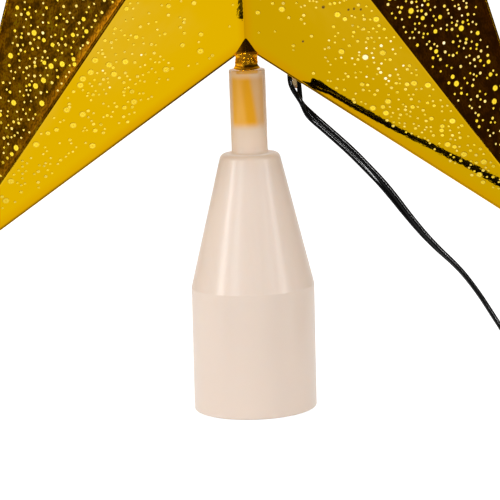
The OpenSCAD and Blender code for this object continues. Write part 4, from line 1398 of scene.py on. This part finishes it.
@dataclass
class Wiring:
    """Lamp places and the wires between them; the lamps alternate between the arms and the valleys."""

    form: StarForm
    lead: FlatLead
    lamps: int = 10
    first_angle: float = 306.0
    arm_r: float = 65.5
    valley_r: float = 29.15
    cable_end: float = -2.5
    half_holder: float = 4.0
    bow: float = 14.4
    pair: float = 0.65
    steps: int = 28
    sill: tuple[float, float] = (10.3, 12.4)
    sill_z: float = 80.8
    lintel_z: float = 85.6
    outside_steps: int = 10
    post_bore: float = 3.55
    post_half: float = 5.5
    post_mouth: float = 3.3
    post_lip: float = 1.2
    post_back: float = 5.15
    post_rib: float = 0.8
    post_along: float = 4.2

    def angle(self, j: int) -> float:
        """Direction of lamp j from the star's centre, in degrees."""
        return self.first_angle + 36 * j

    def spot(self, j: int) -> np.ndarray:
        """Plan point of lamp j."""
        return polar(self.arm_r if j % 2 == 0 else self.valley_r, self.angle(j))

    def back(self, j: int) -> np.ndarray:
        """Direction in which the wires leave lamp j."""
        return polar(-1 if j % 2 == 0 else 1, self.angle(j))

    def end(self, j: int, side: int, reach: float) -> np.ndarray:
        """Plan point on one of lamp j's two wires, at a distance behind the lamp's middle."""
        across = polar(1, self.angle(j) + 90) * side * self.pair
        return self.spot(j) - self.back(j) * self.cable_end + across + self.back(j) * reach

    def raise_points(self, plan: np.ndarray, depth: float = 0.0) -> np.ndarray:
        """Plan points as points of the row frame, behind the seam by a depth."""
        x, z = np.moveaxis(plan, -1, 0)
        return np.stack([x, np.full(x.shape, -depth), self.form.centre_z + z], -1)

    def strand(self, side: int) -> np.ndarray:
        """Middle line of one of the two single wires, from the fork through the glue to the first lamp.

        Args:
            side: -1 or 1, the wire's side of the flat cord.

        Returns:
            Points in millimetres.
        """
        ahead = self.lead.fork_direction()
        fork = self.lead.route[1] + (0, side * self.pair, 0)
        leave, drop = (ahead, 2.4) if side < 0 else (np.array((0.03, 0, -1.0)), 1.2)
        x = self.sill[0 if side < 0 else 1]
        low, high = np.array([x, 0.55, self.sill_z]), np.array([x, 0.3, self.lintel_z])
        outside = bezier(fork, fork - leave * 2.0, low - (0, 0, drop), low, self.outside_steps)
        depth = -side * self.pair
        mouth = self.end(0, -1, self.half_holder)
        bend = self.raise_points(mouth + self.back(0) * self.bow, depth)
        last, lamp = (self.raise_points(point, depth) for point in (mouth, self.end(0, -1, 0)))
        inside = bezier(high, high + (0, -depth, self.bow), bend, last, self.steps)
        return np.concatenate([[fork + ahead * 1.2], outside, inside, [lamp]])

    def shading_line(self) -> np.ndarray:
        """Plan points of the stretch of both single wires that lies inside the star."""
        lines = [self.strand(side)[self.outside_steps + 2 :] for side in (-1, 1)]
        return np.concatenate(lines)[:, [0, 2]] - (0, self.form.centre_z)

    def build_wires(self) -> None:
        """Makes the two single wires, of which the gold mirrors the right one, and the flat lamp wire."""
        material = CORD_PVC.make("Black wire insulation")
        section = circle(self.lead.wire_d / 2, 20)
        for name, side in (("wire_left", -1), ("wire_right", 1)):
            points, faces = sweep(self.strand(side), np.array((0.0, 1.0, 0.0)), section)
            wire = make_object(name, points, faces, Body.STAR, material)
            wire.visible_glossy = side > 0
            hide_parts("wire_tails")
        spans = []
        for j in range(self.lamps - 1):
            a, b = self.end(j, 1, self.half_holder), self.end(j + 1, -1, self.half_holder)
            arc = bezier(a, a + self.back(j) * self.bow, b + self.back(j + 1) * self.bow, b, self.steps)
            line = self.raise_points(np.concatenate([[self.end(j, 1, 0)], arc, [self.end(j + 1, -1, 0)]]))
            spans.append(sweep(line, np.array((0.0, 1.0, 0.0)), self.lead.twin_section()))
        cable = make_object("flat_lamp_wire", *joined(spans), Body.STAR, material)
        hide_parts("lamp_cable")

    def build_glue(self) -> None:
        """Makes the drop of glue: two balls on one axis, blended by the sixth root of a sum of powers."""
        top, low = np.array([11.4, 1.45, 80.1]), np.array([11.8, 1.0, 79.2])
        top_r, low_r = 1.6, 1.0
        axis = unit(low - top)
        gap = float(np.linalg.norm(low - top))
        t = (1 - np.cos(np.linspace(0.02, np.pi - 0.02, 40))) / 2
        s = t * (gap + top_r + low_r) - top_r
        balls = (np.sqrt(np.clip(r * r - (s - c) ** 2, 0, None)) for r, c in ((top_r, 0.0), (low_r, gap)))
        radius = np.maximum(sum(ball**6 for ball in balls) ** (1 / 6), 0.04)
        x, y = circle(1.0, 48).T
        side = np.cross(axis, (0.0, 1.0, 0.0))
        ring = x[:, None] * side + y[:, None] * np.cross(axis, side)
        turn = np.arange(48) * 2 * np.pi / 48
        wave = plane_waves(np.stack(np.broadcast_arrays(s[:, None] * 2, turn[None] * 3), -1), (6.0, 9), 8)
        uneven = radius[:, None] * (1 + 0.004 * wave)
        points = top + axis * s[:, None, None] + ring[None] * uneven[..., None]
        material = HOT_GLUE.make("Clear hot glue")
        glue = make_object("glue_drop", points, tube_faces(*points.shape[:2]), Body.STAR, material)
        glue.visible_glossy = False
        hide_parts("exit_glue")

    def fork_outline(self) -> np.ndarray:
        """Outline of a post's forked head: a block with a round bore that is open in front.

        Returns:
            Points (across, y) in millimetres.
        """
        half, mouth, lip, back = self.post_half, self.post_mouth, self.post_lip, self.post_back
        a = np.radians(np.linspace(-60, 240, 25))
        bore = np.stack([self.post_bore * np.cos(a), self.post_bore * np.sin(a)], -1)[::-1]
        block = [(mouth, -lip), (half, -lip), (half, back), (-half, back), (-half, -lip), (-mouth, -lip)]
        return np.concatenate([block, bore[(bore[:, 1] > -1.1) | (np.abs(bore[:, 0]) > mouth)]])

    def build_posts(self) -> None:
        """Makes a clip post behind each lamp: a forked head, a U along the lamp, on two crossed ribs."""
        solids = []
        for j in range(self.lamps):
            spot, ahead = self.spot(j), polar(1, self.angle(j))
            across = np.array([-ahead[1], ahead[0]])
            low = self.post_back - 0.05
            roof = self.form.half_depth * (self.form.cavity_share - self.form.arm_axes(spot)[3]) - 0.4
            outlines = [(self.fork_outline(), self.post_along)]
            for w, reach in ((self.post_half, self.post_rib), (self.post_rib, self.post_half)):
                outlines.append((np.array([(w, low), (w, roof), (-w, roof), (-w, low)]), reach))
            for outline, reach in outlines:
                n = len(outline)
                ends = np.stack([spot + across * outline[:, :1] + ahead * along for along in (-reach, reach)])
                y = np.broadcast_to(outline[:, 1], (2, n))
                points = np.stack([ends[..., 0], y, self.form.centre_z + ends[..., 1]], -1)
                caps = [list(range(n)), list(range(n, 2 * n))[::-1]]
                solids.append((points, [*grid_faces(2, n)[:, ::-1].tolist(), *caps]))
        material = AMBER_PS.make("Unplated amber polystyrene")
        posts = make_object("clip_posts", *joined(solids), Body.STAR, material, shade_smooth=False)
        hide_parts("rear_shell")


def joined(meshes: list[tuple[np.ndarray, list]]) -> tuple[np.ndarray, list]:
    """Puts meshes into one.

    Args:
        meshes: Points and faces of each.

    Returns:
        All points, and all faces with their point numbers carried on from mesh to mesh.
    """
    starts = np.cumsum([0] + [points.size // 3 for points, _ in meshes])
    faces = [[i + start for i in face] for start, (_, part) in zip(starts, meshes) for face in part]
    return np.concatenate([points.reshape(-1, 3) for points, _ in meshes]), faces


@dataclass
class TwistTie:
    """Flat tie round one side of the coil, with its twisted tail."""

    centre: tuple[float, float] = FlatLead.coil_centre
    turn: float = 135.0
    low: float = 8.58
    high: float = 17.6
    base: float = 0.9
    top: float = 12.75
    thick: float = 0.6
    width: float = 4.0
    chamfer: float = 0.2
    tail: float = 8.0
    tail_twist: float = 540.0
    tail_steps: int = 40

    def to_frame(self, local: np.ndarray) -> np.ndarray:
        """Turns the tie's own axes into the row frame.

        Args:
            local: Points (outwards from the coil, along the coil, up).

        Returns:
            Points in the row frame.
        """
        c, s = polar(1, self.turn)
        out, along, up = np.moveaxis(local, -1, 0)
        return np.stack([self.centre[0] + c * out - s * along, self.centre[1] + s * out + c * along, up], -1)

    def build(self) -> bpy.types.Object:
        """Makes the band and the tail.

        Returns:
            The tie.
        """
        h, r = self.thick / 2, self.thick * 1.5
        a, b, c, d = self.low - h, self.high + h, self.base - h, self.top + h
        path = round_corners([(a, c, r), (b, c, r), (b, d, r), (a, d, r)], 6, 0.3)
        ahead = unit(np.roll(path, -1, 0) - np.roll(path, 1, 0))
        out = np.stack([ahead[:, 1], -ahead[:, 0]], -1)
        w, q = self.width / 2, self.chamfer
        half = np.array([(h, q - w), (h, w - q), (h - q, w), (q - h, w)])
        section = np.concatenate([half, -half])
        flat = path[:, None] + out[:, None] * section[None, :, :1]
        across = np.broadcast_to(section[None, :, 1], flat.shape[:2])
        band = self.to_frame(np.stack([flat[..., 0], across, flat[..., 1]], -1))
        x = np.linspace(0, self.tail, self.tail_steps + 1)
        line = np.stack([self.high + h + x, 0 * x, 0 * x + (self.base + self.top) / 2], -1)
        angle = np.radians(self.tail_twist * x / self.tail)
        wide = np.stack([0 * x, np.cos(angle), np.sin(angle)], -1)
        tail, tail_faces = sweep(line, wide, (section[:, ::-1] * (0.8, 2.0))[::-1])
        points, faces = joined([(band, ring_faces(*band.shape[:2])), (self.to_frame(tail), tail_faces)])
        material = TIE_PVC.make("Paper-backed twist tie")
        tie = make_object("twist_tie", points, faces, Body.STAR, material, shade_smooth=False)
        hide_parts("coil_tie")
        return tie


def finish_nodes() -> None:
    """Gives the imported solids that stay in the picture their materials."""
    for node, (finish, name) in NODE_FINISHES.items():
        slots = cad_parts[node].data.materials
        slots.clear()
        slots.append(finish.make(name))


def main() -> None:
    """Builds every piece, the studio and the cord."""
    logging.basicConfig(level=logging.INFO, format="%(name)s: %(message)s")
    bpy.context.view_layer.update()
    form, lead = StarForm(), FlatLead()
    wiring = Wiring(form, lead)
    gold = MetallisedGold().make("Vacuum-metallised gold")
    amber = LaserBaredAmber().make("Laser-bared amber")
    Shell(form, Side.FRONT).build("front_skin", "front_shell", gold)
    Shell(form, Side.REAR).build("rear_skin", "rear_shell", gold)
    LaserDots(form, Side.FRONT, 11).build("front_dots", "front_shell", amber, wiring.shading_line())
    LaserDots(form, Side.REAR, 12).build("rear_dots", "rear_shell", amber, wiring.shading_line())
    Peg().build()
    Socket().build()
    wiring.build_wires()
    wiring.build_glue()
    wiring.build_posts()
    finish_nodes()
    lead.build(TwistTie().build())
    Studio().build([bpy.data.objects[name] for name in ("flat_lead", "wire_left", "wire_right")])


if __name__ == "__main__":
    main()
